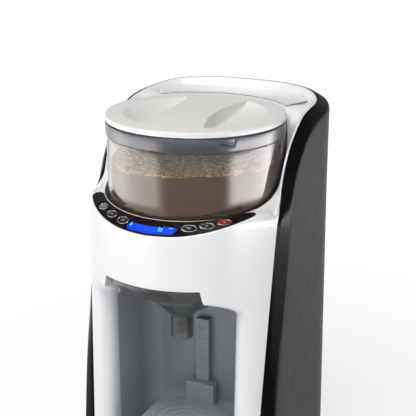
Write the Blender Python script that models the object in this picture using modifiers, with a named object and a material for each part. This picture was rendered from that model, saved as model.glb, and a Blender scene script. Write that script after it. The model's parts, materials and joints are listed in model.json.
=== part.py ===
"""Countertop baby formula maker: powder hopper over a bottle bay, water tank behind.

Lengths below are in millimetres and are scaled to metres when a mesh is made.
X is the width, -Y the front, +Z up, with Z = 0 on the worktop. Shapes are laid
out about the hopper's vertical axis; the empty "formula_maker" carries them all
and shifts them so that the footprint is centred on the world origin.
"""

import math

import bmesh
import bpy
from mathutils import Matrix, Vector

MM = 0.001

# ---------------------------------------------------------------- driving sizes
LID_TOP = 372.0          # top plane of the hopper lid
RIM_TOP = 381.0          # raised rim at the back, the highest point at rest
HOP_Y = -7.0             # world Y of the hopper axis

LID_R = 81.0
BOWL_R = 80.0            # outside of the clear bowl
BOWL_WALL = 2.3
BOWL_FLOOR = 274.0
RING_LOW = 354.3         # lower edge of the lock ring
RING_TOP = 366.4
WELL_R = 82.6            # collar around the bowl

HEAD_R = 96.0            # head radius at the side of the front arc
FLARE = 0.017            # outward lean of the casing, mm per mm of drop
SIDE_X = 97.3            # half width of the dark side shell
SEAM_X = 92.5            # half width where white meets dark
REAR_Y = 128.0           # back of the side shell
WALL = 2.2

BAY_X = 61.5             # half width of the bottle bay
LEG_ROUND = 12.0         # rounding from the front wall into the bay
BROW_ROUND = 4.0         # rounding over the top of the bay
FLANGE_Y = -42.0         # where the white wall ends inside the bay
BAY_TOP = 226.0
BAY_BACK = 20.0
TRAY_FRONT = -117.0
NOZZLE_Y = -30.0
NOZZLE_TIP = 165.0

TANK_FRONT = 87.2        # radius of its hollow front, clear of the hopper well
TANK_LOW = 62.0
TANK_TOP = 371.7
TANK_X = 66.0
TANK_INSET = 9.4         # from the rim

GEAR_TEETH, PINION_TEETH, TOOTH = 36, 12, 1.5
GAP = 0.35

# ---------------------------------------------------------------- scene helpers
for old in list(bpy.data.objects):
    bpy.data.objects.remove(old, do_unlink=True)
for old in list(bpy.data.collections):
    bpy.data.collections.remove(old)

parts = bpy.data.collections.new("formula_maker_parts")
cutters = bpy.data.collections.new("formula_maker_cutters")
bpy.context.scene.collection.children.link(parts)
bpy.context.scene.collection.children.link(cutters)

root = bpy.data.objects.new("formula_maker", None)
parts.objects.link(root)
root.location = (0.0, HOP_Y * MM, 0.0)

MATERIALS = {}


def material(name, colour, roughness, metallic=0.0, alpha=1.0):
    if name not in MATERIALS:
        made = bpy.data.materials.new(name)
        made.use_nodes = True
        shader = made.node_tree.nodes["Principled BSDF"]
        shader.inputs["Base Color"].default_value = (*colour, 1.0)
        shader.inputs["Roughness"].default_value = roughness
        shader.inputs["Metallic"].default_value = metallic
        shader.inputs["Alpha"].default_value = alpha
        MATERIALS[name] = made
    return MATERIALS[name]


WHITE = material("white_gloss", (0.88, 0.89, 0.91), 0.18)
DARK = material("dark_gloss", (0.05, 0.05, 0.05), 0.25)
BLACK = material("black_plastic", (0.02, 0.02, 0.022), 0.45)
GREY = material("bay_grey", (0.33, 0.35, 0.37), 0.4)
SMOKE = material("smoke_clear", (0.10, 0.11, 0.12), 0.1, alpha=0.6)
CLEAR = material("clear_plastic", (0.92, 0.92, 0.92), 0.04, alpha=0.25)
RING = material("ring_grey", (0.55, 0.60, 0.63), 0.2)
RUBBER = material("rubber_grey", (0.06, 0.06, 0.065), 0.7)
PANEL = material("panel_gloss", (0.012, 0.010, 0.010), 0.08)
LCD = material("display_blue", (0.03, 0.10, 0.85), 0.2)
BOARD = material("circuit_board", (0.02, 0.16, 0.07), 0.5)
STEEL = material("steel", (0.55, 0.55, 0.56), 0.3, 1.0)
ALLOY = material("cast_alloy", (0.62, 0.62, 0.63), 0.45, 1.0)
ACETAL = material("acetal_white", (0.80, 0.80, 0.78), 0.4)
SILICONE = material("silicone", (0.75, 0.76, 0.76), 0.5)
BUTTON = material("button_black", (0.02, 0.02, 0.02), 0.3)


def place(obj, mat, helper=False):
    obj.data.materials.append(mat)
    obj.parent = root
    (cutters if helper else parts).objects.link(obj)
    if helper:
        obj.hide_render = True
        obj.display_type = "WIRE"
    return obj


def from_bmesh(name, bm, mat, helper=False, smooth=True):
    mesh = bpy.data.meshes.new(name)
    bm.to_mesh(mesh)
    bm.free()
    if smooth:
        mesh.shade_smooth()
        mesh.set_sharp_from_angle(angle=math.radians(35))
    return place(bpy.data.objects.new(name, mesh), mat, helper)


def bevel(obj, width, segments=2, angle=40):
    mod = obj.modifiers.new("edges", "BEVEL")
    mod.width = width * MM
    mod.segments = segments
    mod.limit_method = "ANGLE"
    mod.angle_limit = math.radians(angle)
    return obj


def box(name, low, high, mat, helper=False, edge=0.0):
    """A block between two corners, its origin at its centre."""
    bm = bmesh.new()
    bmesh.ops.create_cube(bm, size=1.0)
    size = [(b - a) * MM for a, b in zip(low, high)]
    bmesh.ops.scale(bm, vec=size, verts=bm.verts)
    obj = from_bmesh(name, bm, mat, helper, smooth=False)
    obj.location = [(a + b) / 2 * MM for a, b in zip(low, high)]
    if edge:
        bevel(obj, edge)
    return obj


def rod(name, centre, radius, low, high, mat, helper=False, sides=32, axis="Z", edge=0.0, top=None):
    """A cylinder or cone along an axis; centre holds the two cross coordinates."""
    bm = bmesh.new()
    bmesh.ops.create_cone(
        bm, cap_ends=True, segments=sides, radius1=radius * MM,
        radius2=(radius if top is None else top) * MM, depth=(high - low) * MM,
    )
    if axis == "Y":
        bmesh.ops.rotate(bm, cent=(0, 0, 0), matrix=Matrix.Rotation(math.radians(-90), 3, "X"), verts=bm.verts)
        where = (centre[0], (low + high) / 2, centre[1])
    else:
        where = (centre[0], centre[1], (low + high) / 2)
    obj = from_bmesh(name, bm, mat, helper)
    obj.location = [v * MM for v in where]
    if edge:
        bevel(obj, edge)
    return obj


def turned(name, profile, mat, centre=(0.0, 0.0), steps=64, helper=False):
    """A profile of (radius, height) turned about a vertical axis."""
    mesh = bpy.data.meshes.new(name)
    mesh.from_pydata([(r * MM, 0.0, z * MM) for r, z in profile], [(i, (i + 1) % len(profile)) for i in range(len(profile))], [])
    obj = place(bpy.data.objects.new(name, mesh), mat, helper)
    obj.location = (centre[0] * MM, centre[1] * MM, 0.0)
    mod = obj.modifiers.new("turn", "SCREW")
    mod.axis = "Z"
    mod.steps = mod.render_steps = steps
    mod.use_merge_vertices = True
    mod.merge_threshold = 0.00002
    mod.use_smooth_shade = True
    return obj


def outline_solid(name, outline, low, high, mat, helper=False, smooth=False):
    """A flat outline raised into a block: a closed cap extruded in bmesh."""
    bm = bmesh.new()
    face = bm.faces.new([bm.verts.new((x * MM, y * MM, low * MM)) for x, y in outline])
    bm.normal_update()
    if face.normal.z > 0:
        face.normal_flip()
    raised = bmesh.ops.extrude_face_region(bm, geom=[face])
    bmesh.ops.translate(
        bm, vec=(0, 0, (high - low) * MM),
        verts=[v for v in raised["geom"] if isinstance(v, bmesh.types.BMVert)],
    )
    bmesh.ops.recalc_face_normals(bm, faces=bm.faces)
    return from_bmesh(name, bm, mat, helper, smooth)


def sheet(name, rows, thick, mat, helper=False, flip=True, loop=False, offset=-1.0):
    """A skin through rows of points, thickened away from its outer face."""
    bm = bmesh.new()
    grid = [[bm.verts.new([c * MM for c in p]) for p in row] for row in rows]
    weave(bm, grid, flip, loop)
    obj = from_bmesh(name, bm, mat, helper)
    solidify(obj, thick, offset)
    return obj


def slab(name, rows, thick, mat, helper=False):
    """A skin through rows of points, dropped straight down to a constant depth."""
    bm = bmesh.new()
    grid = [[bm.verts.new([c * MM for c in p]) for p in row] for row in rows]
    weave(bm, grid, flip=True)
    made = bmesh.ops.extrude_face_region(bm, geom=list(bm.faces))
    bmesh.ops.translate(bm, vec=(0, 0, -thick * MM), verts=[v for v in made["geom"] if isinstance(v, bmesh.types.BMVert)])
    bmesh.ops.recalc_face_normals(bm, faces=bm.faces)
    return from_bmesh(name, bm, mat, helper)


def weave(bm, grid, flip=False, loop=False):
    for low, high in zip(grid, grid[1:]):
        count = len(low)
        for j in range(count if loop else count - 1):
            quad = [low[j], low[(j + 1) % count], high[(j + 1) % count], high[j]]
            ring = []
            for v in quad:
                if v not in ring:
                    ring.append(v)
            if len(ring) > 2:
                bm.faces.new(ring[::-1] if flip else ring)


def solidify(obj, thick, offset=-1.0):
    mod = obj.modifiers.new("wall", "SOLIDIFY")
    mod.thickness = thick * MM
    mod.offset = offset
    mod.use_even_offset = True
    mod.use_quality_normals = True
    return mod


def cut(obj, *others, operation="DIFFERENCE"):
    for other in others:
        mod = obj.modifiers.new(other.name, "BOOLEAN")
        mod.operation = operation
        mod.solver = "EXACT"
        mod.object = other
    return obj


def add(obj, *others):
    return cut(obj, *others, operation="UNION")


def tube(name, route, radius, mat, sides=2):
    """A hose along a route of points."""
    curve = bpy.data.curves.new(name, "CURVE")
    curve.dimensions = "3D"
    curve.bevel_depth = radius * MM
    curve.bevel_resolution = sides
    curve.use_fill_caps = True
    spline = curve.splines.new("POLY")
    spline.points.add(len(route) - 1)
    for point, (x, y, z) in zip(spline.points, route):
        point.co = (x * MM, y * MM, z * MM, 1.0)
    obj = bpy.data.objects.new(name, curve)
    obj.parent = root
    parts.objects.link(obj)
    curve.materials.append(mat)
    return obj


def smooth_route(points, count):
    """Points along a smooth curve through the given ones."""
    pts = [Vector(p) for p in points]
    pts = [2 * pts[0] - pts[1]] + pts + [2 * pts[-1] - pts[-2]]
    spans = len(pts) - 3
    out = []
    for k in range(count + 1):
        t = k / count * spans
        i = min(int(t), spans - 1)
        t -= i
        a, b, c, d = pts[i:i + 4]
        out.append(tuple(
            0.5 * ((2 * b) + (c - a) * t + (2 * a - 5 * b + 4 * c - d) * t * t + (3 * b - a - 3 * c + d) * t ** 3)
        ))
    return out


def sin(deg):
    return math.sin(math.radians(deg))


def cos(deg):
    return math.cos(math.radians(deg))


def polar(radius, angle, z):
    """A point at an angle from the front, positive towards +X."""
    return (radius * sin(angle), -radius * cos(angle), z)


def interp(x, table):
    """Straight interpolation in a table of (x, y) with x rising."""
    if x <= table[0][0]:
        return table[0][1]
    for (x0, y0), (x1, y1) in zip(table, table[1:]):
        if x <= x1:
            return y0 + (y1 - y0) * (x - x0) / (x1 - x0)
    return table[-1][1]


# ---------------------------------------------------------------- casing lines
SHOULDER_LOW = LID_TOP - 67.0     # where the seam starts to curve over the shoulder
SEAM_TOP_Y = -27.0
SEAM_LINE = ((0.0, -58.0), (25.0, -56.0), (122.0, -48.0), (184.0, -42.0), (221.0, -38.0), (266.0, -32.0), (SHOULDER_LOW, SEAM_TOP_Y))
CREASE_LINE = ((0.0, -53.0), (25.0, -51.0), (122.0, -42.0), (176.0, -33.0), (243.0, -18.0), (300.0, -8.0), (319.0, 1.0))


def lean(z):
    return FLARE * max(0.0, 293.0 - z)


def head_radius(angle, z):
    return HEAD_R + lean(z) + 4.0 * (cos(angle) ** 2 - 0.3)


def seam_y(z):
    return interp(z, SEAM_LINE)


def seam_angle(z):
    """Angle from the front at which the head's arc meets the seam."""
    low, high = 40.0, 85.0
    for _ in range(30):
        mid = (low + high) / 2
        if -head_radius(mid, z) * cos(mid) < seam_y(z):
            low = mid
        else:
            high = mid
    return low


SEAM_ANGLE = seam_angle(SHOULDER_LOW)


def panel_low(angle):
    return LID_TOP - 86.8 + 36.3 * (1 - cos(angle))


def panel_high(angle):
    return LID_TOP - 75.8 + 8.9 * (1 - cos(min(abs(angle), 66)))


COLLAR = ((55, LID_TOP - 72.0), (66, LID_TOP - 70.0), (77, LID_TOP - 66.0), (89, LID_TOP - 57.0), (100, LID_TOP - 43.0), (111, LID_TOP - 28.0), (122, LID_TOP - 10.0), (132, LID_TOP + 1.5), (180, LID_TOP + 3.0))


def collar_z(angle):
    angle = abs(angle)
    return panel_high(angle) if angle < 55 else interp(angle, COLLAR)


def shoulder_z(y):
    """Height of the seam over the shoulder and along the rim."""
    if y <= 42.0:
        t = min(1.0, max(0.0, (42.0 - y) / 69.5))
        return LID_TOP - 67.0 + 69.0 * (1 - t ** 1.77) ** (1 / 1.77)
    return LID_TOP + 2.0 + 7.0 * min(1.0, (y - 42.0) / 45.0) ** 1.5


def outline(angle, side, centre, back, power):
    """Where a ray from the hopper axis meets a straight side and a rounded back."""
    s, c = abs(sin(angle)), -cos(angle)
    x_hit = side / s if s > 1e-6 else 1e9
    if x_hit * c <= centre:
        reach = x_hit
    else:
        low, high = 0.0, 400.0
        for _ in range(50):
            reach = (low + high) / 2
            value = (reach * s / side) ** power + (max(0.0, reach * c - centre) / back) ** power
            if value < 1:
                low = reach
            else:
                high = reach
    return reach * sin(angle), -reach * cos(angle)


def rim(angle, inset=0.0):
    return outline(angle, SEAM_X - inset, 60.0, 60.5 - inset, 2.5)


# ---------------------------------------------------------------- white casing
def front_y(x, z):
    """Depth of the head's front surface."""
    return -head_radius(surface_angle(x, z), z) * cos(surface_angle(x, z))


def surface_angle(x, z):
    a = 0.0
    for _ in range(8):
        a = math.degrees(math.asin(max(-0.999, min(0.999, x / head_radius(a, z)))))
    return a


def round_into_bay(ex, ez, nx, nz, r):
    """Rounding between the front surface and the bay wall, in the plane of the bay edge's normal.

    Returns where the arc starts, the depth of its centre and how far from the edge it
    meets the front surface.
    """
    def slope(u):
        return (front_y(ex - nx * (u + 0.1), ez - nz * (u + 0.1)) - front_y(ex - nx * (u - 0.1), ez - nz * (u - 0.1))) / 0.2

    low, high = r * 0.2, r * 2.0
    for _ in range(30):
        u = (low + high) / 2
        m = slope(u)
        if u - r * m / math.hypot(1.0, m) - r < 0:
            low = u
        else:
            high = u
    m = slope(u)
    centre = front_y(ex - nx * u, ez - nz * u) + r / math.hypot(1.0, m)
    return math.degrees(math.atan2(-1.0, m)), centre, u


def front_lines(front, legs=(180.0, 120.0, 60.0, 8.0), fan=((52, 288.0), (64, 268.0), (77, 240.0), (90, 207.0))):
    """Lines across the front wall from its outer edge to the edge of the bay.

    Each line is (side, outer z, outer angle, edge x, edge z, normal x, normal z, rounding).
    """
    corner = 19.0
    lines = []

    def at_corner(phi, sign, side, z, a):
        r = LEG_ROUND + (BROW_ROUND - LEG_ROUND) * cos(phi) ** 1.5
        ex = sign * (BAY_X - corner + corner * sin(phi))
        return side, z, a, ex, BAY_TOP - corner + corner * cos(phi), -sign * sin(phi), -cos(phi), r

    def leg(z, sign):
        return sign, z, sign * (seam_angle(z)), sign * BAY_X, z, -float(sign), 0.0, LEG_ROUND

    for z in reversed(legs):
        lines.append(leg(z, -1))
    for phi, z in reversed(fan):
        lines.append(at_corner(phi, -1, -1, z, -seam_angle(z)))
    n = len(front) // 2
    for k, a in enumerate(front):
        u = (k - n) / n
        z = panel_low(a) if abs(a) < SEAM_ANGLE - 1 else SHOULDER_LOW
        if abs(u) > 0.6:
            lines.append(at_corner((abs(u) - 0.6) / 0.4 * 40.0, 1 if u > 0 else -1, 0, z, a))
        else:
            lines.append((0, z, a, (BAY_X - corner) * u / 0.6, BAY_TOP, 0.0, -1.0, BROW_ROUND))
    for phi, z in fan:
        lines.append(at_corner(phi, 1, 1, z, seam_angle(z)))
    for z in legs:
        lines.append(leg(z, 1))
    return lines


def build_front_shell():
    """Front wall, control ledge, collar, saddle arms and rear rim as one skin."""
    bm = bmesh.new()
    front = [SEAM_ANGLE * k / 12 for k in range(-12, 13)]
    wall = [[] for _ in range(8)]
    top = []
    for side, z, a, ex, ez, nx, nz, r in front_lines(front):
        theta, centre, reach = round_into_bay(ex, ez, nx, nz, r)
        a1, z1 = surface_angle(ex - nx * reach, ez - nz * reach), ez - nz * reach
        column = []
        for f in (0.0, 0.45, 1.0):
            a2, z2 = a + (a1 - a) * f, z + (z1 - z) * f
            column.append(polar(head_radius(a2, z2), a2, z2))
        for f in (0.25, 0.5, 0.75, 1.0):
            t = theta + (-180.0 - theta) * f
            u = r + r * cos(t)
            column.append((ex - nx * u, centre + r * sin(t), ez - nz * u))
        column.append((ex, FLANGE_Y, ez))
        made = [bm.verts.new(Vector(p) * MM) for p in column]
        for row, vert in zip(wall, made):
            row.append(vert)
        if side == 0:
            top.append(made[0])
    weave(bm, wall)

    behind = [78, 85, 92, 99, 106, 113, 120, 127, 134, 142, 151, 160, 170, 180, 190, 200, 209, 218, 226, 233, 240, 247, 254, 261, 268, 275, 282]
    ring = front + behind
    outer, crest, inner, collar, skirt = [], [], [], [], []
    for k, a in enumerate(ring):
        bent = a if a <= 180 else a - 360
        if k < len(front):
            outer.append(top[k])
            base = Vector(top[k].co) / MM
            z1, z2 = base.z, collar_z(bent)
            crest.append(bm.verts.new(Vector(polar(WELL_R + (base.xy.length - WELL_R) * 0.70, bent, z2 + (z1 - z2) * 0.70)) * MM))
            inner.append(bm.verts.new(Vector(polar(WELL_R + (base.xy.length - WELL_R) * 0.32, bent, z2 + (z1 - z2) * 0.32)) * MM))
        else:
            x, y = rim(bent)
            z = shoulder_z(y)
            outer.append(bm.verts.new(Vector((x, y, z)) * MM))
            x2, y2 = rim(bent, 3.0)
            crest.append(bm.verts.new(Vector((x2, y2, z - 0.4)) * MM))
            reach = math.hypot(x2, y2)
            floor = collar_z(bent)
            # behind the hopper the skin drops to a shelf that carries the tank lid
            shelf = max(0.0, min(1.0, (abs(bent) - 118) / 14))
            r3 = WELL_R + (reach - WELL_R) * (0.35 + 0.57 * shelf)
            z3 = floor + (z - floor) * 0.28 * (1 - shelf)
            if shelf > 0:
                z3 = z3 * (1 - shelf) + (LID_TOP - 0.2) * shelf
            inner.append(bm.verts.new(Vector(polar(r3, bent, z3)) * MM))
        z = collar_z(bent)
        if k >= len(front) and abs(bent) > 118:
            z = z + (LID_TOP - 0.2 - z) * min(1.0, (abs(bent) - 118) / 14)
        collar.append(bm.verts.new(Vector(polar(WELL_R, bent, z)) * MM))
        skirt.append(bm.verts.new(Vector(polar(WELL_R, bent, min(z - 6.0, 292.0) if abs(bent) < 80 else z - 18.0)) * MM))
    weave(bm, [outer, crest, inner, collar, skirt], loop=True)
    bmesh.ops.recalc_face_normals(bm, faces=bm.faces)
    seen = max(bm.faces, key=lambda f: -f.calc_center_median().y)
    if seen.normal.y > 0:
        bmesh.ops.reverse_faces(bm, faces=bm.faces)
    obj = from_bmesh("front_shell", bm, WHITE)
    solidify(obj, WALL)
    return obj


def panel_rows(pad, lift=0.0):
    """The control face: a cone-shaped crescent with rounded ends."""
    rows = []
    for f in [0.0, 0.2, 0.5, 0.8, 1.0]:
        row = []
        for k in range(25):
            t = k / 12 - 1
            half = 60.0 + pad * 0.7 - 4.0 * abs(2 * f - 1) ** 3
            a = t * half
            r0, r1 = WELL_R + 1.6 - pad, head_radius(a, 290.0) - 3.0 + pad
            r = r0 + (r1 - r0) * f
            full0, full1 = WELL_R, head_radius(a, 290.0)
            g = (r - full0) / (full1 - full0)
            z = collar_z(a) + (panel_low(a) - collar_z(a)) * g
            row.append(polar(r, a, z + lift))
        rows.append(row)
    return rows


front_shell = build_front_shell()
lip_cut = box("lip_cut", (-45.3, -140.0, 200.0), (45.3, -30.0, 239.2), BLACK, helper=True)
panel_cut = slab("panel_cut", panel_rows(0.35, 5.0), 13.0, BLACK, helper=True)


def tank_outline(inset):
    """Plan of the tank: hollowed round the hopper in front, following the rim behind."""
    half = TANK_X - inset
    pts = []
    for k in range(13):
        x = half * (k / 6 - 1)
        pts.append((x, max(66.0 + inset, math.sqrt((TANK_FRONT + inset) ** 2 - x * x))))
    for k in range(13):
        x = half * (1 - k / 6)
        gap = TANK_INSET + inset
        y = 60.0 + (60.5 - gap) * (1 - (abs(x) / (SEAM_X - gap)) ** 2.5) ** 0.4
        pts.append((x, y))
    return pts


tank_hole = outline_solid("tank_hole", tank_outline(-1.6), 330.0, 400.0, BLACK, helper=True)
cut(front_shell, lip_cut, panel_cut, tank_hole)


# ---------------------------------------------------------------- dark casing
def side_point(angle, z):
    """Outer face of the dark shell below its bevel."""
    grow = FLARE * 0.6 * max(0.0, 293.0 - z)
    return outline(angle, SIDE_X + grow, 66.0, REAR_Y - 66.0 + grow, 3.0)


def build_rear_shell():
    bm = bmesh.new()
    side = [0, 14, 28, 42, 56, 70]
    behind = [127, 135, 143, 152, 161, 170, 180]
    rows = []
    heights = [6.0, 70.0, 122.0, 155.0, 184.0, 214.0, 243.0, 266.0, 286.0, SHOULDER_LOW]
    edge = SEAM_X + 0.9

    def front_points(z, crease, depth):
        """Seam edge and crease of one side at a height."""
        y0 = seam_y(z) + 1.4
        x0 = math.sqrt(max(1.0, head_radius(seam_angle(z), z) ** 2 - y0 ** 2)) + 0.15
        return (min(x0, edge), y0), (SIDE_X + FLARE * 0.6 * max(0.0, 293 - z), crease)

    def row_at(z, upper=None):
        seam, bend = front_points(z, interp(z, CREASE_LINE), 0)
        half = [(seam[0], seam[1], z), (bend[0], bend[1], z)]
        for y in side[1:]:
            x = SIDE_X + FLARE * 0.6 * max(0.0, 293 - z)
            half.append((x, y, z))
        for a in behind:
            x, y = side_point(a, z)
            half.append((x, y, z))
        full = half + [(-x, y, zz) for x, y, zz in half[-2::-1]]
        return full

    for z in heights:
        rows.append(row_at(z))
    # over the shoulder every column runs up to the rim
    last = rows[-1]
    n = len(last)
    for share in (0.5, 1.0):
        row = []
        for k, (x, y, z) in enumerate(last):
            m = min(k, n - 1 - k)
            sign = 1 if k <= n - 1 - k else -1
            if m == 0:
                row.append(None)
                continue
            if m == 1:
                yy = y + 2.0
            else:
                yy = y
            crest = shoulder_z(yy)
            drop = interp(yy, ((-10, 17.0), (60, 15.0), (90, 9.0), (130, 5.0)))
            bend_z = crest - drop
            zz = z + (bend_z - z) * share
            row.append((x, yy, zz))
        rows.append(row)
    lip_out, lip_in = [], []
    for k, (x, y, z) in enumerate(last):
        m = min(k, n - 1 - k)
        if m == 0:
            lip_out.append(None)
            lip_in.append(None)
            continue
        yy = y + 2.0 if m == 1 else y
        if yy < 66.0:
            ox = (SEAM_X + 2.3) * (1 if x > 0 else -1)
            ix = (SEAM_X + 0.9) * (1 if x > 0 else -1)
            lip_out.append((ox, yy, shoulder_z(yy) - 0.6))
            lip_in.append((ix, yy, shoulder_z(yy) - 0.2))
        else:
            a = math.degrees(math.atan2(x, -yy))
            ox, oy = rim(a, -2.3)
            ix, iy = rim(a, -1.3)
            lip_out.append((ox, oy, shoulder_z(oy) - 0.6))
            lip_in.append((ix, iy, shoulder_z(iy) - 0.2))
    rows += [lip_out, lip_in]
    grid = []
    for i, row in enumerate(rows):
        line = []
        for j, p in enumerate(row):
            line.append(grid[-1][j] if p is None else bm.verts.new(Vector(p) * MM))
        grid.append(line)
    weave(bm, grid)
    bmesh.ops.recalc_face_normals(bm, faces=bm.faces)
    seen = max(bm.faces, key=lambda f: f.calc_center_median().y)
    if seen.normal.y < 0:
        bmesh.ops.reverse_faces(bm, faces=bm.faces)
    obj = from_bmesh("rear_shell", bm, DARK)
    solidify(obj, WALL)
    return obj


rear_shell = build_rear_shell()
level_slot = box("level_slot", (-9.0, 110.0, 110.0), (9.0, 150.0, 300.0), BLACK, helper=True)
inlet_cut = box("inlet_cut", (34.7, 100.0, 13.7), (66.3, 150.0, 38.3), BLACK, helper=True)
cut(rear_shell, level_slot, inlet_cut)


# ---------------------------------------------------------------- base
def foot_outline(inset, front):
    pts = []
    for k in range(-8, 9):
        x = 7.0 * k
        pts.append((x, TRAY_FRONT + 3.4 + inset + 27.0 * (abs(x) / 58.6) ** 2.4))
    for k in range(5):
        a = -150.0 + 30.0 * k
        nose = (BAY_X + LEG_ROUND, -50.2, LEG_ROUND - inset + 0.2)
        point = (nose[0] + nose[2] * cos(a), nose[1] + nose[2] * sin(a))
        pts.append(point)
        pts.insert(0, (-point[0], point[1]))
    for y in (-49.4, 20.0, 66.0):
        pts.append((SIDE_X + 2.5 - inset, y))
    for a in (130, 140, 150, 160, 170, 180, 190, 200, 210, 220, 230):
        x, y = outline(a if a <= 180 else a - 360, SIDE_X + 2.5 - inset, 66.0, 64.5 - inset, 3.0)
        pts.append((x, y))
    for y in (66.0, 20.0, -49.4):
        pts.append((-(SIDE_X + 2.5 - inset), y))
    return pts


base_plate = outline_solid("base_plate", foot_outline(4.6, 0), 3.6, 6.6, BLACK)
feet = []
for name, x, y in (
    ("foot_front_left", -72, -40), ("foot_front_right", 72, -40),
    ("foot_rear_left", -70, 96), ("foot_rear_right", 70, 96),
):
    foot = rod(name, (x, y), 9.0, 0.0, 3.2, RUBBER, sides=24, top=8.4)
    foot.rotation_euler = (math.pi, 0, 0)
    feet.append(foot)
screws = []
for k, (x, y) in enumerate(((-44, 32), (44, 32), (-34, 110), (18, 112))):
    hole = rod(f"screw_hole_{k + 1}", (x, y), 2.4, 0.0, 10.0, BLACK, helper=True, sides=16)
    cut(base_plate, hole)
    screw = turned(f"base_screw_{k + 1}", [(0, 12.0), (1.9, 12.0), (1.9, 3.2), (3.8, 3.2), (3.8, 1.6), (0, 1.6)], STEEL, (x, y), steps=16)
    screws.append(screw)


# ---------------------------------------------------------------- bottle bay
def liner_plan(grow, front):
    """Plan of the bay: straight sides, rounded back corners, open towards the front."""
    half, back, r = BAY_X + grow, BAY_BACK + grow, 16.0 + grow
    pts = [(-half, front), (half, front)]
    for k in range(6):
        pts.append((half - r + r * cos(18 * k), back - r + r * sin(18 * k)))
    for k in range(6):
        pts.append((-half + r - r * sin(18 * k), back - r + r * cos(18 * k)))
    return pts


bay_liner = outline_solid("bay_liner", liner_plan(2.0, FLANGE_Y + 0.4), 31.0, BAY_TOP + 1.6, GREY)
liner_room = outline_solid("liner_room", liner_plan(0.0, -160.0), 10.0, BAY_TOP - 0.4, BLACK, helper=True)
roof_cut = box("roof_cut", (-44.9, -140.0, 205.0), (44.9, 7.0, 240.0), BLACK, helper=True)
cut(bay_liner, liner_room, roof_cut)

stand_rail = box("stand_rail", (-7.0, 12.6, 34.0), (7.0, BAY_BACK - GAP, 164.0), GREY, edge=0.8)
rail_groove_left = box("rail_groove_left", (-12.0, 15.4, 20.0), (-4.6, 17.4, 180.0), BLACK, helper=True)
rail_groove_right = box("rail_groove_right", (4.6, 15.4, 20.0), (12.0, 17.4, 180.0), BLACK, helper=True)
cut(stand_rail, rail_groove_left, rail_groove_right)


def stadium(half_x, y0, y1, radius, steps=5):
    pts = []
    for cx, cy, start in (
        (half_x - radius, y0 + radius, -90), (half_x - radius, y1 - radius, 0),
        (-half_x + radius, y1 - radius, 90), (-half_x + radius, y0 + radius, 180),
    ):
        for k in range(steps + 1):
            a = start + 90 * k / steps
            pts.append((cx + radius * cos(a), cy + radius * sin(a)))
    return pts


bottle_stand = outline_solid("bottle_stand", stadium(40.0, -72.0, 11.0, 26.0), 73.0, 77.0, GREY)
carriage = box("carriage_block", (-15.0, 6.0, 73.4), (15.0, 17.0, 98.0), BLACK, helper=True)
carriage_slot = box("carriage_slot", (-7.4, 12.2, 60.0), (7.4, 30.0, 120.0), BLACK, helper=True)
add(bottle_stand, carriage)
cut(bottle_stand, carriage_slot)

# drip tray: a shallow tub with a rounded front that stands proud of the legs
def tray_plan(inset):
    half = 58.6 - inset
    back = 17.0 - inset
    pts = [(half, back - 8), (half - 8, back), (-half + 8, back), (-half, back - 8), (-half, -72.0)]
    for k in range(-6, 7):
        a = k * 6.0
        x = 120.0 * sin(a) * half / (120.0 * sin(36.0))
        y = TRAY_FRONT + inset + 27.0 * (abs(x) / half) ** 2.4
        pts.append((x, y))
    pts.append((half, -72.0))
    return pts


drip_tray = outline_solid("drip_tray", tray_plan(0.0), 7.2, 27.0, BLACK)
tray_hollow = outline_solid("tray_hollow", tray_plan(2.4), 9.6, 40.0, BLACK, helper=True)
cut(drip_tray, tray_hollow)
tray_grille = outline_solid("tray_grille", tray_plan(0.4), 27.3, 29.6, GREY)
slots = []
for k in range(7):
    y = -92.0 + 14.5 * k
    slot = box(f"grille_slot_{k + 1}", (-44.0, y, 20.0), (44.0, y + 6.0, 40.0), BLACK, helper=True)
    slots.append(slot)
rail_notch = box("rail_notch", (-7.8, 12.0, 20.0), (7.8, 30.0, 40.0), BLACK, helper=True)
cut(tray_grille, *slots, rail_notch)

# ---------------------------------------------------------------- funnel
funnel = turned(
    "funnel",
    [(32.0, 219.6), (33.6, 219.6), (33.6, 217.0), (30.0, 207.0), (10.6, 187.0), (10.2, NOZZLE_TIP),
     (8.4, NOZZLE_TIP), (8.6, 187.6), (28.0, 207.8), (31.4, 217.4)],
    SMOKE, (0.0, NOZZLE_Y), steps=24,
)
funnel_tray = box("funnel_tray_block", (-43.6, -78.0, 217.4), (43.6, 4.0, 231.0), BLACK, helper=True)
funnel_room = box("funnel_room", (-41.6, -76.0, 219.4), (41.6, 2.0, 240.0), BLACK, helper=True)
funnel_throat = turned(
    "funnel_throat", [(0.0, 240.0), (31.4, 240.0), (31.4, 217.4), (28.0, 207.8), (8.6, 187.6), (8.4, 150.0), (0.0, 150.0)],
    BLACK, (0.0, NOZZLE_Y), steps=24, helper=True,
)
lip_rows = []
for f in (0.0, 1.0):
    row = []
    for k in range(11):
        a = -26.6 + 53.2 * k / 10
        r0 = 78.5
        r1 = head_radius(a, 237.0) - 0.4
        row.append(polar(r0 + (r1 - r0) * f, a * (1.0 + 0.26 * (1 - f)), 219.0 + 18.6 * f))
    lip_rows.append(row)
funnel_lip = sheet("funnel_lip_sheet", lip_rows, 2.2, BLACK, helper=True)
add(funnel, funnel_tray, funnel_lip)
cut(funnel, funnel_room, funnel_throat)


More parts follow.
